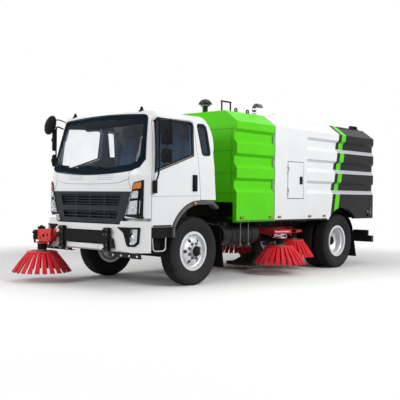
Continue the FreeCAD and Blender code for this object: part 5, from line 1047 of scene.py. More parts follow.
# %% Grille screen, cooling pack and valance
screen = [slab((-0.64, along(-1.05), 0.945), (0.64, along(-1.046), 1.29), 0.001, 1)]
screen += [slab((-0.63, along(-1.06), 0.956 + 0.022 * n), (0.63, along(-1.05), 0.964 + 0.022 * n), 0.0015, 1)
           for n in range(15)]
screen += [slab((x - 0.035, along(-1.074), 0.95), (x + 0.035, along(-1.062), 1.018), 0.002, 1) for x in (-0.365, 0.365)]
fit("grille_screen", screen, "cab", seal_rubber)
fins = [slab((-0.7, along(-0.7), 0.56), (0.7, along(-0.672), 0.872), 0.006, 2)]
fins += [slab((-0.69 + 0.03 * n, along(-0.706), 0.575), (-0.684 + 0.03 * n, along(-0.699), 0.86), 0.001, 1)
         for n in range(47)]
fit("cooling_pack", fins, "chassis", frame_black)
for (side, word, out), low in zip(SIDES, (0.44, 0.472)):
    x0, x1 = side * 0.4, side * 1.005
    skirt = [slab((x0, along(-1.095), low), (x1, along(-1.08), 0.514), 0.004, 2),
             slab((x0, along(-1.095), low), (x1, along(-1.02), low + 0.008), 0.003, 2)]
    fit(f"bumper_valance_{word}", skirt, "chassis", gloss_black)
    places = [(side * x, along(-1.0955), low + 0.024) for x in (0.5, 0.66, 0.82, 0.97)]
    bolt_heads(f"valance_bolts_{word}", places, "-y", 0.011, "chassis", bright_steel)
fit("carrier_wedge", plate([(0.548, 0.56), (0.6, 0.56), (0.578, 0.68), (0.548, 0.7)], "front", along(-1.205),
                           along(-1.15),
                           0.004), "chassis", gloss_black)

# %% Clamp bolts
bolt_heads("clamp_bolts", [(side * 0.483 + dx, along(-1.228), z) for side in (1, -1) for dx in (-0.028, 0.028)
                           for z in (0.53, 0.6, 0.74, 0.812)], "-y", 0.011, "chassis")
fit("bumper_number_plate_rest", slab((-0.26, along(-1.1665), 0.535), (0.26, along(-1.161), 0.585), 0.003), "chassis",
    cab_white)
print("cab dressed")

# %% [markdown]
# ## Inside the cab
# Seen through the glass, the seats need their own cloth and the dashboard a binnacle and vents. An
# oval mirror hangs from the windscreen's top edge.

# %% Cab inside
for x in (0.52, -0.52):
    fit("seat_cushion", slab((x - 0.215, along(-0.455), 1.555), (x + 0.215, along(-0.02), 1.592), 0.016, 3), "cab",
        seat_cloth)
    fit("seat_headrest", slab((x - 0.13, along(0.08), 2.16), (x + 0.13, along(0.165), 2.315), 0.016, 3), "cab",
        seat_cloth)
    fit("seat_bolsters", [slab((x + dx - 0.035, along(0.02), 1.66), (x + dx + 0.035, along(0.075), 2.1), 0.02, 3,
                               (-8, 0, 0))
                          for dx in (-0.185, 0.185)], "cab", seat_cloth)
dash = [slab((-0.7, along(-0.93), 1.545), (-0.34, along(-0.8), 1.6), 0.018, 3)]
dash += [slab((x - 0.055, along(-0.705), 1.44), (x + 0.055, along(-0.69), 1.49), 0.004)
         for x in (-0.82, -0.12, 0.12, 0.82)]
fit("dash_parts", dash, "cab", dash_plastic)
oval = slab((-0.145, -0.018, -0.052), (0.145, 0.01, 0.052), 0.024, 4)
fit("inner_mirror", [moved(oval, Matrix.Translation((-0.3, along(-0.8), 2.24))),
                     tube([(-0.3, along(-0.79), 2.26), (-0.3, along(-0.76), 2.33)], 0.009, 8)], "cab", moulded_black)

# %% [markdown]
# ## Engine module
# The front face of the green module is divided by thin shut lines. A service hatch in each half has
# two flush catches. The intake cap and the exhaust get collars, bands and bolts.

# %% Module front
seams = [slab((-1.06, along(0.7975), z), (1.06, along(0.801), z + 0.006), 0.0008, 1) for z in (1.32, 1.62, 1.96, 2.29)]
seams += [slab((x, along(0.7975), 1.2), (x + 0.006, along(0.801), 2.3), 0.0008, 1) for x in (-1.0, 0.994)]
fit("module_front_seams", seams, "chassis", green_dark)
catches = [slab((x - 0.035, along(0.7945), z), (x + 0.035, along(0.801), z + 0.055), 0.006, 2)
           for x in (-0.55, 0.55) for z in (1.42, 1.8)]
fit("module_front_catches", catches, "chassis", moulded_black)

# %% [markdown]
# The body is made of folded sheet: a rubber strip closes the gap between the module and the
# hopper, and a dark rail with small amber lamps follows the lower edge of each side.

# %% Body edges
RAILS = (("module_sill", 0.806, 1.746, 1.106, 0.914, "chassis", green_dark),
         ("hopper_sill_front", 1.78, 3.33, 1.105, 0.908, "hopper", gloss_black),
         ("hopper_sill_rear", 4.4, 4.826, 1.105, 0.908, "hopper", gloss_black))
MARKERS = ((0.93, "chassis"), (1.66, "chassis"), (1.9, "hopper"), (2.78, "hopper"), (3.24, "hopper"))
for side, word, out in SIDES:
    gap = slab((side * 1.03, along(1.7525), 0.89), (side * 1.0425, along(1.7715), 2.25), 0.003, 1)
    fit(f"module_gap_rubber_{word}", gap, "chassis", seal_rubber)
    for name, y0, y1, outer, top, body, look in RAILS:
        rail = slab((side * 1.0985, along(y0), 0.886), (side * outer, along(y1), top), 0.002, 1)
        fit(f"{name}_{word}", rail, body, look)
    for n, (y, body) in enumerate(MARKERS):
        pod = moved(slab((-0.003, -0.045, -0.016), (0.007, 0.045, 0.016), 0.003, 1),
                    Matrix.Translation((side * 1.104, along(y), 0.95)))
        fit(f"marker_base_{word}_{n}", pod, body, moulded_black)
        lens = moved(slab((-0.002, -0.036, -0.011), (0.01, 0.036, 0.011), 0.004, 2),
                     Matrix.Translation((side * 1.1075, along(y), 0.95)))
        fit(f"marker_lens_{word}_{n}", lens, body, lens_amber)
    dome_lamp(f"rear_marker_{word}", (side * 1.1015, along(4.755), 1.013), out, 0.02, "hopper")

# %% [markdown]
# The maintenance door on the left has a grey painted shadow line over its gap and the skin beside it, and a black lock
# with a swinging handle.

# %% Maintenance door
corners = [(along(y), z) for y, z in ((2.1235, 1.2465), (2.5835, 1.2465), (2.5835, 1.8535), (2.1235, 1.8535))]
# Each edge of the door gets a grey strip of painted shadow, wider than the gap itself.
gap_shadow_strips = [slab((1.096, min(ya, yb) - 0.005, min(za, zb) - 0.005), (1.1025, max(ya, yb) + 0.005, max(za, zb) + 0.005),
              0.0015, 1)
         for (ya, za), (yb, zb) in zip(corners, corners[1:] + corners[:1])]
fit("access_door_shadow_line", gap_shadow_strips, "hopper", gap_shadow_grey)
fit("access_door_lock", [
    slab((1.1035, along(2.462), 1.485), (1.1195, along(2.538), 1.615), 0.008, 3),
    slab((1.1185, along(2.476), 1.54), (1.1275, along(2.5), 1.602), 0.004, 2),
    turned(disc_profile(0.013, 0.008, 0.002), (1.1185, along(2.488), 1.51), "x", 20),
], "access_door", moulded_black)


# %% Roof fittings
def band(inner, outer, length):
    """The section of a thin ring whose edges are eased."""
    return [(inner, 0.0), (outer, 0.002), (outer, length - 0.002), (inner, length)]


def circle_places(count, radius, centre, first=0.0):
    """Places spaced evenly on a level circle."""
    angles = [first + 2 * math.pi * n / count for n in range(count)]
    return [(centre[0] + radius * math.cos(a), centre[1] + radius * math.sin(a), centre[2]) for a in angles]


ROOF = 2.575
CAP = (0.28, along(1.0), ROOF)
fit("intake_cap_trim", [
    turned([(0.044, 0.0), (0.088, 0.0), (0.088, 0.006), (0.066, 0.012), (0.044, 0.034)], CAP),
    turned(band(0.041, 0.047, 0.02), (0.28, along(1.0), ROOF + 0.085), "z", 28),
    turned([(0.096, 0.15), (0.108, 0.148), (0.108, 0.158), (0.104, 0.162), (0.096, 0.16)], CAP, "z", 36),
], "chassis", gloss_black)
fit("intake_cap_mesh", turned([(0.044, 0.12), (0.072, 0.122), (0.072, 0.148), (0.044, 0.15)], CAP, "z", 48, 10),
    "chassis",
    nut_steel)
bolt_heads("intake_cap_bolts", circle_places(6, 0.078, (0.28, along(1.0), ROOF + 0.006), math.pi / 6), "z", 0.006,
           "chassis")
feet = [turned(disc_profile(r, t, s), (0.69, along(y), ROOF + up), "z", steps)
        for r, t, s, up, steps in ((0.03, 0.008, 0.002, 0, 24), (0.0165, 0.02, 0.006, 0.15, 20)) for y in (0.92, 1.13)]
fit("grab_rail_feet", feet, "chassis", gloss_black)
flue = [turned(band(0.031, 0.037, 0.022), (0.79, along(1.61), ROOF + up)) for up in (0.028, 0.084)]
flue.append(turned([(0.031, 0.0), (0.056, -0.02), (0.058, -0.016), (0.034, 0.008)], (0.79, along(1.61), ROOF + 0.01)))
flue += [turned([(0.0305, 0.0), (0.0345, 0.0015), (0.0345, 0.0085), (0.0305, 0.01)],
                (0.79, along(1.69 + 0.036 * n), ROOF + 0.165), "y", 28) for n in range(3)]
fit("exhaust_clamps", flue, "chassis", bare_steel)

# %% [markdown]
# The hopper's roof has a filling hatch on the front left shoulder, with a seal, two hinges and a
# handle. A gutter runs along each edge of the roof, and stiffeners run across it.

# %% Hopper roof
hinges = []
for y in (2.07, 2.3):
    hinges += [tube([(0.3, along(y), 2.618), (0.3, along(y + 0.06), 2.618)], 0.01, 10),
               slab((0.3, along(y + 0.004), 2.6195), (0.362, along(y + 0.056), 2.6255), 0.0015, 1)]
fit("roof_hatch_hinges", hinges, "hopper", nut_steel)
grip = tube([(0.74, along(y), z) for y, z in ((2.13, 2.62), (2.13, 2.652), (2.25, 2.652), (2.25, 2.62))], 0.007, 8,
            0.02)
fit("roof_hatch_grip", grip, "hopper", bare_steel)
SEAL = ((0.296, 1.998, 0.824, 2.003), (0.296, 2.391, 0.824, 2.396), (0.296, 1.998, 0.301, 2.396),
        (0.819, 1.998, 0.824, 2.396))
fit("roof_hatch_seal", [slab((xa, along(ya), 2.574), (xb, along(yb), 2.583), 0.0015, 1) for xa, ya, xb, yb in SEAL],
    "hopper", seal_rubber)
fit("hopper_roof_gutters", [slab((side * 0.852, along(1.79), 2.571), (side * 0.868, along(4.815), 2.581), 0.002, 1)
                            for side in (1, -1)], "hopper", hopper_paint)
fit("hopper_roof_stiffeners", [slab((-0.85, along(y), 2.573), (0.85, along(y + 0.05), 2.585), 0.004, 1)
                               for y in (2.62, 3.22, 3.82, 4.42)], "hopper", hopper_paint)
print("body dressed")

# %% [markdown]
# ## Pressed panels
# The three troughs in each side wall run out through the ends of the panels, so the edges of the
# engine module and of the hopper are notched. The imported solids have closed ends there, so each of
# the three shells is copied, its ends are cut open with a prism of the trough's own section, and the
# copy stands for the solid. Weighted normals keep the flat panels flat beside the cuts.

# %% Notched shells
OUTER_X, INNER_X, WALL_X, FLOOR_X = 1.112, 1.0447, 1.101, 1.045
OVER = (OUTER_X - WALL_X) / (WALL_X - FLOOR_X)


def notched(name, node_name, spans, paint):
    """A shell whose troughs run out through its ends; the spans are lengths behind the front axle."""
    shell = bpy.data.objects.new(name, NODES[node_name].data.copy())
    bpy.context.scene.collection.objects.link(shell)
    outward(shell, 0.0002)
    bpy.ops.mesh.customdata_custom_splitnormals_clear()
    cutters = []
    for low, high in spans:
        for top in TROUGH_TOPS:
            section = [(OUTER_X, top + 0.0453 * OVER), (INNER_X, top - 0.0447), (INNER_X, top - 0.1513),
                       (OUTER_X, top - 0.219 - 0.068 * OVER)]
            cutters += [plate(flipped(section, side), "front", along(low), along(high), 0) for side in (1, -1)]
    carve(shell, merged(cutters))
    smooth(shell, 30)
    apply(shell, "WEIGHTED_NORMAL", mode="FACE_AREA", weight=100, keep_sharp=True)
    print(name, len(shell.data.polygons))
    fit(name, shell, BODY_OF[node_name], paint, replaces=[node_name])


notched("module_pressed_shell", "module_shell", [(0.79, 0.853), (1.699, 1.762)], module_green)
notched("hopper_pressed_shell", "hopper_shell", [(4.776, 4.84)], hopper_paint)
notched("tailgate_pressed_shell", "tailgate", [(4.826, 5.04)], hopper_paint)

# %% [markdown]
# ## Brushes
# Each brush is a pressed disc with a raised rim. Twenty-four flat bundles of bristles splay from the
# rim to the ground. A bundle is two layers of strands. Every strand is a thin bar that bends a
# little on its own way down, so the end of a bundle is uneven, as on a used brush. Three different
# bundles are made and repeated round the disc.

# %% Bristle bundles
TUFTS, KINDS, STRANDS, DROP = 24, 3, 8, 0.31
ROOT_HALF, TIP_HALF = 0.015, 0.029
TURNS = [Matrix.Rotation(math.radians(n * 360 / TUFTS - 90), 4, "Z") for n in range(TUFTS)]
random.seed(41)


def bundle(root, reach):
    """Two layers of strands from the disc's rim out and down to the ground."""
    strands = []
    fall = Vector((reach - root, 0, -DROP)).normalized()
    proud = Vector((-fall.z, 0, fall.x))
    for layer in (-1, 1):
        for n in range(STRANDS):
            across = (n - 3.5) / 3.5
            top = Vector((root, across * ROOT_HALF, -0.012)) + proud * layer * 0.005
            foot = Vector((reach - 0.006, across * TIP_HALF, 0.003 - DROP)) + proud * layer * 0.007
            foot -= fall * random.uniform(0.0, 0.014)
            middle = (top + foot) / 2 + proud * random.uniform(0.002, 0.007)
            middle.y += random.uniform(-0.002, 0.002)
            quarter = (top + middle) / 2 + proud * 0.0015
            strands.append(tube([top, quarter, middle, foot], random.uniform(0.0046, 0.0054), 4))
    return merged(strands)


def bristle_skirt(disc_radius, reach):
    """All the bundles of a brush round the origin."""
    kinds = [bundle(disc_radius - 0.03, reach) for _ in range(KINDS)]
    ring = merged([copy_of(kinds[(n * 5) % KINDS], turn) for n, turn in enumerate(TURNS)])
    for kind in kinds:
        bpy.data.objects.remove(kind)
    return ring


# %% [markdown]
# The disc is spun from one profile: a flat web with a raised rim and a rolled edge. Small clamps
# hold the bundles under the rim, and a ring of bolts goes through the web.

# %% Brush discs
def brush_disc(r):
    profile = [
        (0.06, -0.012), (r - 0.062, -0.012), (r - 0.05, -0.001), (r - 0.016, 0.0), (r - 0.002, -0.008), (r, -0.024),
        (r - 0.005, -0.03), (r - 0.03, -0.032), (r - 0.06, -0.026), (0.06, -0.026),
    ]
    clamps = [moved(slab((r - 0.052, -0.021, -0.04), (r - 0.004, 0.021, -0.018), 0.003, 1), turn) for turn in TURNS]
    return merged([turned(profile, (0, 0, 0), "z", 48), *clamps])


def brush_hub():
    """The iron hub with its flange and a ring of bolts."""
    flange = [(0, -0.03), (0.088, -0.03), (0.088, -0.006), (0.074, -0.004), (0.074, 0.014), (0.07, 0.0168), (0, 0.0168)]
    bolt = [(0, 0), (0.011, 0), (0.011, 0.008), (0.009, 0.01), (0, 0.01)]
    bolts = [turned(bolt, place, "z", 6, 20) for place in circle_places(8, 0.13, (0, 0, -0.013))]
    return merged([turned(flange, (0, 0, 0)), *bolts])


BRUSHES = (
    ("brush_front", -0.93, -1.22, 0.445, 0.225),
    ("brush_mid_left", 0.93, 2.16, 0.48, 0.225),
    ("brush_mid_right", -0.93, 2.16, 0.48, 0.225),
    ("brush_inner_left", 0.66, 2.93, 0.54, 0.19),
    ("brush_inner_right", -0.66, 2.93, 0.54, 0.19),
)
skirts = {0.225: bristle_skirt(0.225, 0.43), 0.19: bristle_skirt(0.19, 0.365)}
discs = {radius: brush_disc(radius) for radius in skirts}
hub = brush_hub()
for name, x, y, z, radius in BRUSHES:
    there = Matrix.Translation((x, along(y), z))
    fit(f"{name}_bristles", copy_of(skirts[radius], there), name, bristle_red, replaces=[name])
    fit(f"{name}_disc", copy_of(discs[radius], there), name, arm_red)
    fit(f"{name}_hub", copy_of(hub, there), name, nut_steel)
for spare in (*skirts.values(), *discs.values(), hub):
    bpy.data.objects.remove(spare)
print("brushes made", len(BRUSHES))

# %% [markdown]
# ## Brush arms
# Each brush turns under a black hydraulic motor. Its cover has cooling ribs and its plate is
# bolted down. Bright steel pipes run from the motor along the arm.

# %% Motor covers and pipes
def motor_cover(name, x, y, base, body):
    """A ribbed black cover round a motor, a cap and four bolts on its mounting plate."""
    ribs = [(0.06, 0.002), (0.066, 0.004)]
    for n in range(5):
        z = 0.012 + 0.014 * n
        ribs += [(0.066, z), (0.0685, z + 0.002), (0.0685, z + 0.007), (0.066, z + 0.009)]
    ribs += [(0.066, 0.086), (0.06, 0.088)]
    cap = [(0, 0.105), (0.05, 0.105), (0.048, 0.122), (0.036, 0.134), (0.018, 0.138), (0, 0.138)]
    place = (x, along(y), base)
    fit(f"{name}_cover", [turned(ribs, place, "z", 36), turned(cap, place, "z", 28)], body, moulded_black)
    bolt_heads(f"{name}_bolts", circle_places(4, 0.07, (x, along(y), base + 0.107), math.pi / 4), "z", 0.008, body)


def pipe_run(name, runs, body, radius, bend, look=bright_steel):
    """Bent pipes with a collar at each end."""
    pieces = []
    for points in runs:
        pieces.append(tube(points, radius, 12, bend))
        for end, beside in ((points[0], points[1]), (points[-1], points[-2])):
            end, beside = Vector(end), Vector(beside)
            pieces.append(tube([end, end + (beside - end).normalized() * 0.022], radius * 1.6, 8))
    fit(name, pieces, body, look)


motor_cover("front_motor", -0.93, -1.22, 0.4625, "front_arm")
for side, word, out in SIDES:
    motor_cover(f"mid_motor_{word}", side * 0.93, 2.16, 0.4975, f"side_arm_{word}")
    motor_cover(f"inner_motor_{word}", side * 0.66, 2.93, 0.5575, f"side_arm_{word}")

# %% [markdown]
# The front arm is a pair of red plates with lightening holes round the beam. A black spindle beside
# the motor sets the brush's tilt, and two short pipes loop from the motor to the arm.

# %% Front arm
GUSSET = [(-0.6, 0.722), (-0.61, 0.668), (-0.7, 0.612), (-0.79, 0.56), (-0.835, 0.56), (-0.885, 0.572), (-0.88, 0.64),
          (-0.83, 0.676), (-0.7, 0.726)]
BOX_SIDE = [(-0.64, 0.6), (-0.618, 0.66), (-0.618, 0.772), (-0.64, 0.784), (-0.985, 0.756), (-1.0, 0.738), (-1.0, 0.65),
            (-0.975, 0.622), (-0.88, 0.59), (-0.7, 0.588)]
GUSSET_HOLES = [(-0.675, 0.68, 0.018), (-0.76, 0.64, 0.022), (-0.845, 0.61, 0.018)]
BOX_HOLES = [(-0.69, 0.69, 0.024), (-0.785, 0.676, 0.028), (-0.69, 0.626, 0.014), (-0.86, 0.64, 0.016)]


def about(pivot, turn):
    """A matrix that turns or stretches about a place other than the origin."""
    return Matrix.Translation(pivot) @ turn @ Matrix.Translation(-Vector(pivot))


cheeks = [plate(GUSSET, "front", along(y), along(y + 0.009), 0.0015, GUSSET_HOLES) for y in (-1.232, -1.182)]
cheeks += [plate(BOX_SIDE, "front", along(y), along(y + 0.008), 0.002, BOX_HOLES) for y in (-1.305, -1.146)]
lid = slab((-0.992, along(-1.298), 0.745), (-0.655, along(-1.146), 0.753), 0.002)
cheeks += [moved(lid, about((0, 0, 0.76), Matrix.Rotation(math.radians(-4.4), 4, "Y"))),
           slab((-0.985, along(-1.262), 0.5705), (-0.85, along(-1.178), 0.582), 0.003),
           slab((-0.872, along(-1.232), 0.562), (-0.858, along(-1.173), 0.64), 0.003)]
fit("front_arm_plates", cheeks, "front_arm", arm_red)
STACK = [(0, 0.6), (0.052, 0.6), (0.052, 0.77), (0.058, 0.772), (0.058, 0.792), (0.046, 0.8), (0.024, 0.802),
         (0.022, 0.816), (0, 0.818)]
PORT = [(0, 0.0), (0.014, 0.0), (0.014, 0.014), (0.009, 0.016), (0.009, 0.026), (0, 0.027)]
ports = [turned(PORT, (x, along(-1.318), z), "-y", 16) for x, z in ((-0.998, 0.715), (-0.955, 0.715), (-0.976, 0.65))]
fit("front_tilt_motor", [turned(STACK, (-0.945, along(-1.222), 0)),
                         slab((-1.022, along(-1.318), 0.612), (-0.93, along(-1.3), 0.748), 0.006, 3), *ports],
    "front_arm", moulded_black)
SPINDLE = [(0, 0.0), (0.012, 0.0), (0.012, 0.06), (0.02, 0.062), (0.022, 0.066), (0.022, 0.074), (0.018, 0.078),
           (0, 0.078)]
foot = (-1.052, along(-1.262), 0.556)
fit("front_tilt_spindle", [moved(turned(SPINDLE, foot, "z", 20), about(foot, Matrix.Diagonal((1.3, 1.3, 1.5, 1)))),
                           slab((-1.078, along(-1.282), 0.628), (-0.995, along(-1.242), 0.64), 0.003)],
    "front_arm", moulded_black)
bolt_heads("front_arm_pins", [(-0.575, along(-1.2275), 0.7), (-0.81, along(-1.2335), 0.64)], "-y", 0.014, "front_arm")
pipe_run("front_motor_pipes", [
    [(-0.93 + 0.02 * k, along(-1.15), 0.503 + 0.03 * k), (-0.9 + 0.02 * k, along(-1.135), 0.503 + 0.03 * k),
     (-0.82, along(-1.14), 0.545 + 0.022 * k), (-0.74, along(-1.165), 0.61 + 0.02 * k)] for k in (0, 1)
], "front_arm", 0.008, 0.03, moulded_black)

# %% [markdown]
# Each side arm carries a wide red frame over its brushes: a top plate with a folded lip, two end
# cheeks and a leg. Pipes cross below the plate, and a bright guard ring goes round the motor.

# %% Side arm frames
TOP = [(0.56, 1.985), (0.985, 1.93), (1.0, 1.945), (1.0, 2.385), (0.985, 2.4), (0.56, 2.48)]
CHEEK = [(0.575, 0.728), (0.575, 0.69), (0.9, 0.64), (0.998, 0.628), (0.998, 0.728)]
LEG = [(0.905, 0.735), (0.905, 0.61), (0.955, 0.604), (0.955, 0.735)]
REAR = [(0.56, 2.8), (0.77, 2.83), (0.79, 2.85), (0.79, 3.01), (0.56, 3.06)]
PIPES = (
    ((1.004, 1.9, 0.705), (1.004, 2.33, 0.7), (0.96, 2.4, 0.69), (0.7, 2.42, 0.69)),
    ((0.99, 1.905, 0.652), (0.99, 2.02, 0.65), (1.002, 2.11, 0.618), (0.985, 2.23, 0.6)),
    ((0.96, 1.905, 0.628), (0.968, 2.04, 0.624), (0.985, 2.15, 0.64), (0.93, 2.26, 0.628)),
)


def seen_from_top(outline):
    return [(x, along(y)) for x, y in outline]


for side, word, out in SIDES:
    body = f"side_arm_{word}"
    pieces = [
        plate(seen_from_top(TOP), "top", 0.722, 0.73, 0.002, [(0.7, along(2.1), 0.03), (0.7, along(2.3), 0.03)]),
        slab((0.992, along(1.938), 0.672), (1.0, along(2.392), 0.728), 0.002),
        *(plate(CHEEK, "front", along(y), along(y + 0.008), 0.0015, [(0.88, 0.686, 0.02), (0.76, 0.696, 0.016)])
          for y in (1.936, 2.386)),
        plate(LEG, "front", along(2.15), along(2.162), 0.002),
        plate(seen_from_top(REAR), "top", 0.7, 0.707, 0.002),
        slab((0.782, along(2.845), 0.66), (0.79, along(3.015), 0.706), 0.002),
    ]
    for piece in pieces if side < 0 else ():
        moved(piece, MIRROR).data.flip_normals()
    fit(f"side_arm_frame_{word}", pieces, body, arm_red)
    pipe_run(f"side_arm_pipes_{word}", [[(side * x, along(y), z) for x, y, z in run] for run in PIPES], body, 0.01,
             0.06)
    x, y = side * 0.93, along(2.16)
    rings = []
    for radius, z in ((0.105, 0.66), (0.112, 0.604)):
        loop = circle_places(24, radius, (x, y, z), 0.1)
        rings.append(tube(loop + loop[:1], 0.007, 10))
    upper, lower, inner = (circle_places(4, radius, (x, y, z), math.pi / 4)
                           for radius, z in ((0.105, 0.66), (0.112, 0.604), (0.07, 0.6)))
    for high, low, near in zip(upper, lower, inner):
        rings += [tube([high, low], 0.006, 8), tube([low, near], 0.006, 8)]
    fit(f"motor_guard_{word}", rings, body, bare_steel)
    bolt_heads(f"side_arm_bolts_{word}", [(side * 1.0005, along(y), 0.7) for y in (1.98, 2.16, 2.34)], out, 0.01, body)
print("brush arms dressed")

# %% [markdown]
# ## Chassis
# The black frame is riveted and bolted together, so rows of heads follow the rails' outer webs.

# %% Rail bolts
RAIL_BOLTS = (-0.6, -0.3, 0.62, 1.0, 1.38, 1.62, 1.86, 2.26, 2.6, 2.9, 3.2, 3.55, 4.2, 4.52)
for side, word, out in SIDES:
    bolt_heads(f"rail_bolts_{word}", [(side * 0.43, along(y), z) for y in RAIL_BOLTS for z in (0.72, 0.8)], out, 0.012,
               "chassis")

# %% [markdown]
# The round fuel tank has pressed ends, a filler neck with a cap, and steel straps pulled tight with
# bolts. Two bright drop pipes stand in front of it, each with a valve at its foot.

# %% Fuel tank
TANK_X, TANK_Z, TANK_R = 0.84, 0.69, 0.165
END = [(0, -0.004), (0.1, -0.004), (0.145, -0.003), (0.155, 0.002), (0.148, 0.006), (0.1, 0.002), (0, 0.001)]
NECK = [(0, 0.0), (0.04, 0.0), (0.04, 0.02), (0, 0.02)]
LID = [(0, 0.018), (0.046, 0.018), (0.048, 0.024), (0.048, 0.036), (0.044, 0.042), (0.014, 0.043), (0.012, 0.048),
       (0, 0.048)]
ends = [turned(END, (TANK_X, along(y), TANK_Z), axis, 48) for y, axis in ((0.64, "-y"), (1.5, "y"))]
neck = turned(NECK, (TANK_X + 0.06, along(0.745), TANK_Z + 0.146), "z", 28)
fit("fuel_tank_ends", [*ends, neck], "chassis", gloss_black)
fit("fuel_cap", turned(LID, (TANK_X + 0.06, along(0.745), TANK_Z + 0.144), "z", 12, 20), "chassis", moulded_black)
straps, below = [], TANK_Z - TANK_R
for y in (0.83, 1.31):
    ring = [(TANK_R + 0.005, 0.004), (TANK_R + 0.0085, 0.006), (TANK_R + 0.0085, 0.038), (TANK_R + 0.005, 0.04)]
    straps.append(turned(ring, (TANK_X, along(y), TANK_Z), "y", 64))
    straps += [slab((x, along(y + 0.004), below - 0.032), (x + 0.01, along(y + 0.04), below - 0.004), 0.002)
               for x in (TANK_X - 0.045, TANK_X - 0.005)]
    straps.append(tube([(x, along(y + 0.022), below - 0.02) for x in (TANK_X - 0.06, TANK_X + 0.02)], 0.006, 8))
fit("fuel_tank_straps", straps, "chassis", gloss_black)
VALVE = [(0, -0.02), (0.013, -0.02), (0.018, -0.012), (0.018, 0.012), (0.013, 0.02), (0, 0.02)]
for n, y in enumerate((0.985, 1.18)):
    drop = [(1.03, along(y), 0.884), (1.03, along(y), 0.56), (1.01, along(y + 0.02), 0.52),
            (0.93, along(y + 0.03), 0.5)]
    fit(f"drop_pipe_{n}", [
        tube(drop, 0.009, 10, 0.03),
        turned(disc_profile(0.02, 0.008, 0.002), (1.03, along(y), 0.872), "z", 20),
        turned(VALVE, (1.022, along(y + 0.008), 0.54), "z", 12, 20),
        turned(disc_profile(0.016, 0.01, 0.003), (1.036, along(y + 0.008), 0.54), "x", 16),
        slab((1.016, along(y - 0.012), 0.712), (1.042, along(y + 0.012), 0.728), 0.003, 1),
    ], "chassis", nut_steel)
rack = [(0.9, along(0.9), 0.498), (0.93, along(1.0), 0.5), (0.93, along(1.24), 0.5), (0.9, along(1.42), 0.492)]
fit("valve_rack", [tube(rack, 0.012, 10, 0.04),
                   *(slab((0.905, along(y), 0.485), (0.955, along(y + 0.03), 0.53), 0.004, 1)
                                                  for y in (1.0, 1.2))], "chassis", iron)

# %% [markdown]
# On the right the battery box has a ribbed lid and two rubber latches. Two air tanks with welded
# seams hang inside the right rail, and brake chambers sit behind the rear axle.

# %% Battery box
ribs = []
for y in (0.7, 0.81, 0.92, 1.03, 1.14):
    ribs += [slab((-1.0085, along(y), 0.56), (-1.003, along(y + 0.04), 0.805), 0.002, 1),
             slab((-0.985, along(y), 0.852), (-0.69, along(y + 0.04), 0.861), 0.003, 1)]
fit("battery_box_ribs", ribs, "chassis", moulded_black)
latches = []
for y in (0.74, 1.12):
    latches += [slab((-1.02, along(y), 0.74), (-1.008, along(y + 0.03), 0.852), 0.003),
                tube([(-1.016, along(y - 0.006), 0.742), (-1.016, along(y + 0.036), 0.742)], 0.006, 8)]
fit("battery_latches", latches, "chassis", seal_rubber)

# %% Air tanks and brake chambers
TANK = [(0, 0.0), (0.05, 0.004), (0.088, 0.022), (0.098, 0.05), (0.098, 0.43), (0.088, 0.458), (0.05, 0.476), (0, 0.48)]
air = []
for y0 in (1.9, 2.88):
    air.append(turned(TANK, (-0.24, along(y0), 0.56), "y", 36))
    for y in (y0 + 0.12, y0 + 0.34):
        air += [turned(band(0.098, 0.102, 0.03), (-0.24, along(y), 0.56), "y", 36),
                slab((-0.345, along(y), 0.6), (-0.33, along(y + 0.03), 0.665), 0.002, 1),
                slab((-0.432, along(y), 0.655), (-0.33, along(y + 0.03), 0.668), 0.002, 1)]
fit("air_tanks", air, "chassis", frame_black)
CAN = [(0, 0.0), (0.05, 0.002), (0.072, 0.014), (0.074, 0.06), (0.082, 0.064), (0.082, 0.074), (0.074, 0.078),
       (0.07, 0.15), (0.04, 0.162), (0, 0.164)]
chambers = []
for side in (1, -1):
    chambers += [turned(CAN, (side * 0.3, along(4.06), 0.56), "y", 28),
                 slab((side * 0.25, along(4.038), 0.5), (side * 0.35, along(4.062), 0.58), 0.003, 1)]
fit("brake_chambers", chambers, "chassis", iron)

# %% [markdown]
# The springs' leaves are held by U-bolts and clips, and a damper leans beside each front spring.

# %% Springs
clips, dampers = [], []
for axle in (0.0, WHEELBASE):
    for x in (0.3925, -0.3925):
        for y in (axle - 0.07, axle + 0.07):
            clips += [tube([(x + dx, along(y), 0.455), (x + dx, along(y), 0.628)], 0.008, 8) for dx in (-0.044, 0.044)]
            clips.append(tube([(x - 0.044, along(y), 0.628), (x + 0.044, along(y), 0.628)], 0.008, 8))
        clips += [slab((x - 0.043, along(y - 0.015), 0.574), (x + 0.043, along(y + 0.015), 0.636), 0.003, 1)
                  for y in (axle - 0.38, axle + 0.38)]
fit("spring_clips", clips, "chassis", nut_steel)
for side in (1, -1):
    low, high = Vector((side * 0.5, along(-0.13), 0.42)), Vector((side * 0.47, along(-0.26), 0.76))
    middle, right = low.lerp(high, 0.52), Vector((side, 0, 0))
    dampers += [tube([low, middle], 0.024, 12), tube([middle, high], 0.031, 12),
                tube([high - right * 0.045, high + right * 0.03], 0.013, 10),
                tube([low - right * 0.06, low + right * 0.025], 0.013, 10)]
fit("front_dampers", dampers, "chassis", frame_black)

# %% [markdown]
# Long steel air and brake pipes run along the rails in clips, and reach the air tanks. Below each
# door a bent steel loop serves as the lower step, with a ribbed well behind it and studs above.

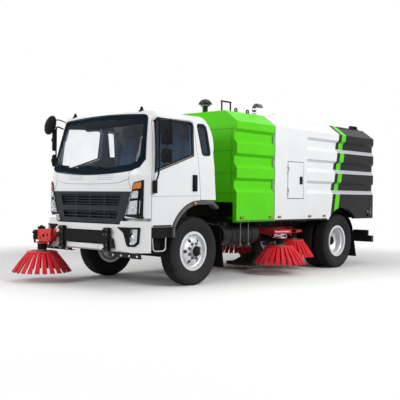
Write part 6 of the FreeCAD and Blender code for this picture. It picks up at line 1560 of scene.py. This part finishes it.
# %% Frame pipes, steps and studs
CLAMPS = (-0.34, 0.1, 0.5, 1.2, 1.8, 3.26, 3.7, 4.1, 4.5)
STEP_LOOP = ((-0.855, 0.7), (-0.835, 0.545), (-0.8, 0.522), (-0.64, 0.522), (-0.605, 0.545), (-0.6, 0.7))
STUD = [(0, 0), (0.007, 0), (0.005, 0.004), (0, 0.004)]
for side, word, out in SIDES:
    clamps = [slab((side * 0.43, along(y), 0.815), (side * 0.449, along(y + 0.018), 0.857), 0.002, 1) for y in CLAMPS]
    fit(f"pipe_clamps_{word}", clamps, "chassis", moulded_black)
    pipes = [tube([(side * 0.4405, along(y0), z), (side * 0.4405, along(y1), z)], 0.005, 8)
             for z in (0.846, 0.826) for y0, y1 in ((-0.4, 1.9), (3.2, 4.58))]
    fit(f"frame_pipes_{word}", pipes, "chassis", bare_steel)
    loop = tube([(side * 1.0, along(y), z) for y, z in STEP_LOOP], 0.01, 12, 0.03)
    fit(f"step_loop_{word}", loop, "chassis", bare_steel)
    well = [slab((side * 0.8, along(-0.868), 0.54), (side * 0.93, along(-0.606), 0.7), 0.008, 2)]
    well += [slab((side * 0.928, along(y), 0.552), (side * 0.936, along(y + 0.02), 0.69), 0.002, 1)
             for y in (-0.855, -0.795, -0.735, -0.675, -0.615)]
    fit(f"step_well_{word}", well, "chassis", moulded_black)
    studs = [turned(STUD, (side * (0.938 + 0.024 * m), along(-0.812 + 0.033 * n), 0.8585), "z", 10)
             for n in range(6) for m in range(2)]
    fit(f"step_studs_{word}", studs, "chassis", moulded_black)
print("chassis dressed")

# %% [markdown]
# ## Tail
# The tailgate is stiffened by folded box ribs, sealed with a thick rubber lip, and held shut by a
# hook at each lower corner.

# %% Tailgate
FACE = along(5.021)
ribs = [slab((-1.02, FACE - 0.004, z), (1.02, FACE + 0.012, z + 0.075), 0.01, 2) for z in (1.02, 1.42, 1.82, 2.18)]
ribs += [slab((x - 0.04, FACE - 0.004, 0.985), (x + 0.04, FACE + 0.01, 2.3), 0.009, 2) for x in (-0.62, 0, 0.62)]
fit("tailgate_ribs", ribs, "tailgate", gloss_black)
lips = [((1.016, 0.905), (1.036, 2.26)), ((-1.016, 0.905), (-1.036, 2.26)), ((-1.08, 0.888), (1.08, 0.902))]
fit("tailgate_seal", [slab((xa, along(4.8305), za), (xb, along(4.8365), zb), 0.003, 1) for (xa, za), (xb, zb) in lips],
    "tailgate", seal_rubber)
for side, word, out in SIDES:
    x0, x1 = side * 1.099, side * 1.11
    fit(f"tailgate_hook_{word}", [
        slab((x0, along(4.85), 0.96), (x1, along(4.905), 1.09), 0.004, 2),
        tube([(side * 1.096, along(4.878), 1.062), (side * 1.12, along(4.878), 1.062)], 0.013, 12),
        slab((x0, along(4.842), 0.985), (x1, along(4.872), 1.02), 0.004, 2),
    ], "tailgate", nut_steel)
    keeper = tube([(x0, along(4.8), 1.003), (side * 1.118, along(4.8), 1.003)], 0.012, 12)
    fit(f"tailgate_keeper_{word}", keeper, "hopper", nut_steel)
DRAIN = [(0, 0.0), (0.052, 0.0), (0.052, 0.012), (0.04, 0.014), (0.038, 0.04), (0.03, 0.044), (0, 0.044)]
fit("tailgate_drain", turned(DRAIN, (-0.3, FACE - 0.004, 1.24), "y", 28), "tailgate", bare_steel)
grips = [tube([(x, FACE + dy, z) for dy, z in ((0, 1.3), (0.034, 1.3), (0.034, 1.46), (0, 1.46))], 0.009, 10, 0.03)
         for x in (-0.86, 0.86)]
fit("tailgate_grips", grips, "tailgate", bare_steel)
bolt_heads("tailgate_hinge_bolts", [(x, along(y), 2.628) for x in (0.785, -0.785) for y in (4.872, 4.902)], "z", 0.009,
           "tailgate")

# %% [markdown]
# The rear lamps are plain clusters with red, amber and clear chambers under separate lenses. The
# number plate's rest is bare. Round red reflectors are screwed to the guard.

# %% Rear lamps
LAMP_FACE = along(5.093)
CHAMBERS = (("stop", 0.852, 0.95, lens_red), ("turn", 0.768, 0.846, lens_amber), ("tail", 0.7, 0.762, lens_red),
            ("reverse", 0.652, 0.694, lens_clear))
REFLECTOR = [(0, 0.0), (0.036, 0.0), (0.038, 0.004), (0.034, 0.01), (0, 0.012)]
for side, word, out in SIDES:
    for label, a, b, lens in CHAMBERS:
        base = slab((side * a, LAMP_FACE - 0.004, 0.56), (side * b, LAMP_FACE + 0.004, 0.634), 0.003, 1)
        fit(f"rear_reflector_{label}_{word}", base, "chassis", bright_steel)
        cover = slab((side * (a + 0.002), LAMP_FACE + 0.003, 0.562), (side * (b - 0.002), LAMP_FACE + 0.017, 0.632),
                     0.006, 3)
        fit(f"rear_lens_{label}_{word}", cover, "chassis", lens)
    bars = [slab((side * 0.64, LAMP_FACE - 0.003, z), (side * 0.96, LAMP_FACE + 0.009, z + 0.01), 0.003, 1)
            for z in (0.548, 0.636)]
    fit(f"rear_lamp_frame_{word}", bars, "chassis", moulded_black)
    fit(f"guard_reflector_{word}", turned(REFLECTOR, (side * 0.56, along(5.112), 0.486), "y", 28), "chassis", lens_red)
rest = [slab((-0.27, along(5.1), 0.56), (0.27, along(5.108), 0.68), 0.006, 2)]
rest += [slab((x - 0.015, along(5.08), 0.54), (x + 0.015, along(5.102), 0.61), 0.002, 1) for x in (-0.2, 0.2)]
fit("number_plate_rest", rest, "chassis", gloss_black)
fit("number_plate_lamp", slab((-0.05, along(5.085), 0.682), (0.05, along(5.118), 0.704), 0.006, 2), "chassis",
    moulded_black)
bolt_heads("guard_bolts", [(x, along(5.1135), z) for x in (0.437, -0.437) for z in (0.455, 0.51)], "y", 0.011,
           "chassis")
print("tail dressed")

# %% [markdown]
# ## Studio
# A plain pale floor catches the soft shadow. Far from the truck it gives way to the white of the
# backdrop, which the camera, the glass and the gloss all see.

# %% Floor
deselect()
bpy.ops.mesh.primitive_plane_add(size=120, location=(0, 0, 0))
floor = settle(bpy.context.object)
floor.name = floor.data.name = "studio_floor"
floor_paper, tree, paper = material("floor_paper", (0.8, 0.8, 0.8))
rays = node(tree, "LightPath").outputs
grain = ramp(tree, skin_of(tree, in_Size=40.0)["Blotch"], 0, 1, 0.86, 0.90)
feed(tree, paper, in_Roughness=0.75, in_Specular_IOR_Level=0.2,
     in_Base_Color=blend(tree, rays["Is Diffuse Ray"], grain, (0.30, 0.30, 0.30, 1)))
distance = node(tree, "VectorMath", operation="LENGTH", in_0=object_place(tree)).outputs["Value"]
fade = ramp(tree, distance, 4.2, 8.5, 0.0, 1.0, interpolation_type="SMOOTHERSTEP")
seen = maths(tree, "MULTIPLY", maths(tree, "SUBTRACT", 1.0, rays["Is Diffuse Ray"]), fade)
white_glow = node(tree, "Emission", in_Strength=1.0, in_Color=(1, 1, 1, 1))
mixed = node(tree, "MixShader", in_0=seen, in_1=paper.outputs[0], in_2=white_glow.outputs[0])
feed(tree, tree.nodes["Material Output"], in_Surface=mixed.outputs[0])
floor.data.materials.append(floor_paper)
floor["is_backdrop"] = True

# %% World
world = bpy.data.worlds.new("studio")
bpy.context.scene.world = world
world.use_nodes = True
tree = world.node_tree
rays = node(tree, "LightPath").outputs
through = maths(tree, "MAXIMUM", rays["Is Camera Ray"], rays["Is Transmission Ray"])
shown = maths(tree, "MAXIMUM", through, rays["Is Glossy Ray"])
feed(tree, tree.nodes["Background"], in_Color=(1, 1, 1, 1), in_Strength=ramp(tree, shown, 0, 1, 0.30, 1.0))

# %% [markdown]
# The light is soft and comes mostly from above the vehicle's left side, as in a studio with a wide
# overhead panel. A weaker panel in front keeps the cab's face bright.

# %% Lamps
def panel_light(name, place, aim, size, power):
    light = bpy.data.lights.new(name, "AREA")
    light.shape = "RECTANGLE"
    light.size, light.size_y = size
    light.energy = power
    lamp = bpy.data.objects.new(name, light)
    lamp.location = place
    lamp.rotation_euler = (Vector(aim) - Vector(place)).to_track_quat("-Z", "Y").to_euler()
    bpy.context.scene.collection.objects.link(lamp)


panel_light("side_panel", (10.5, 0.0, 6.6), (0.6, 0.4, 1.2), (8, 5), 960)
panel_light("front_panel", (-2.5, -11.0, 5.0), (0.0, -2.5, 1.4), (6, 4), 590)
panel_light("top_panel", (0.0, 0.5, 9.5), (0, 0, 0), (9, 5), 330)

# %% [markdown]
# The camera stands where the photograph was taken from: low, far off the front left corner, looking
# almost level, and tipped by a fraction of a degree.

# %% Camera
YAW, PITCH, ROLL = (math.radians(a) for a in (41.739, -0.250, 0.625))
EYE = (7.818, -9.2895, 1.258)
ahead = Vector((-math.sin(YAW) * math.cos(PITCH), math.cos(YAW) * math.cos(PITCH), math.sin(PITCH)))
level_right = ahead.cross(Vector((0, 0, 1))).normalized()
level_up = level_right.cross(ahead)
right = level_right * math.cos(ROLL) + level_up * math.sin(ROLL)
up = level_up * math.cos(ROLL) - level_right * math.sin(ROLL)
eye = bpy.data.cameras.new("camera")
eye.lens, eye.sensor_width, eye.clip_end = 64.56, 36, 200
camera = bpy.data.objects.new("camera", eye)
bpy.context.scene.collection.objects.link(camera)
camera.matrix_world = Matrix([(right[n], up[n], -ahead[n], EYE[n]) for n in range(3)] + [(0, 0, 0, 1)])
bpy.context.scene.camera = camera
bpy.context.scene.view_settings.view_transform = "Standard"

# %% Sizes and the end
low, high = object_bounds()
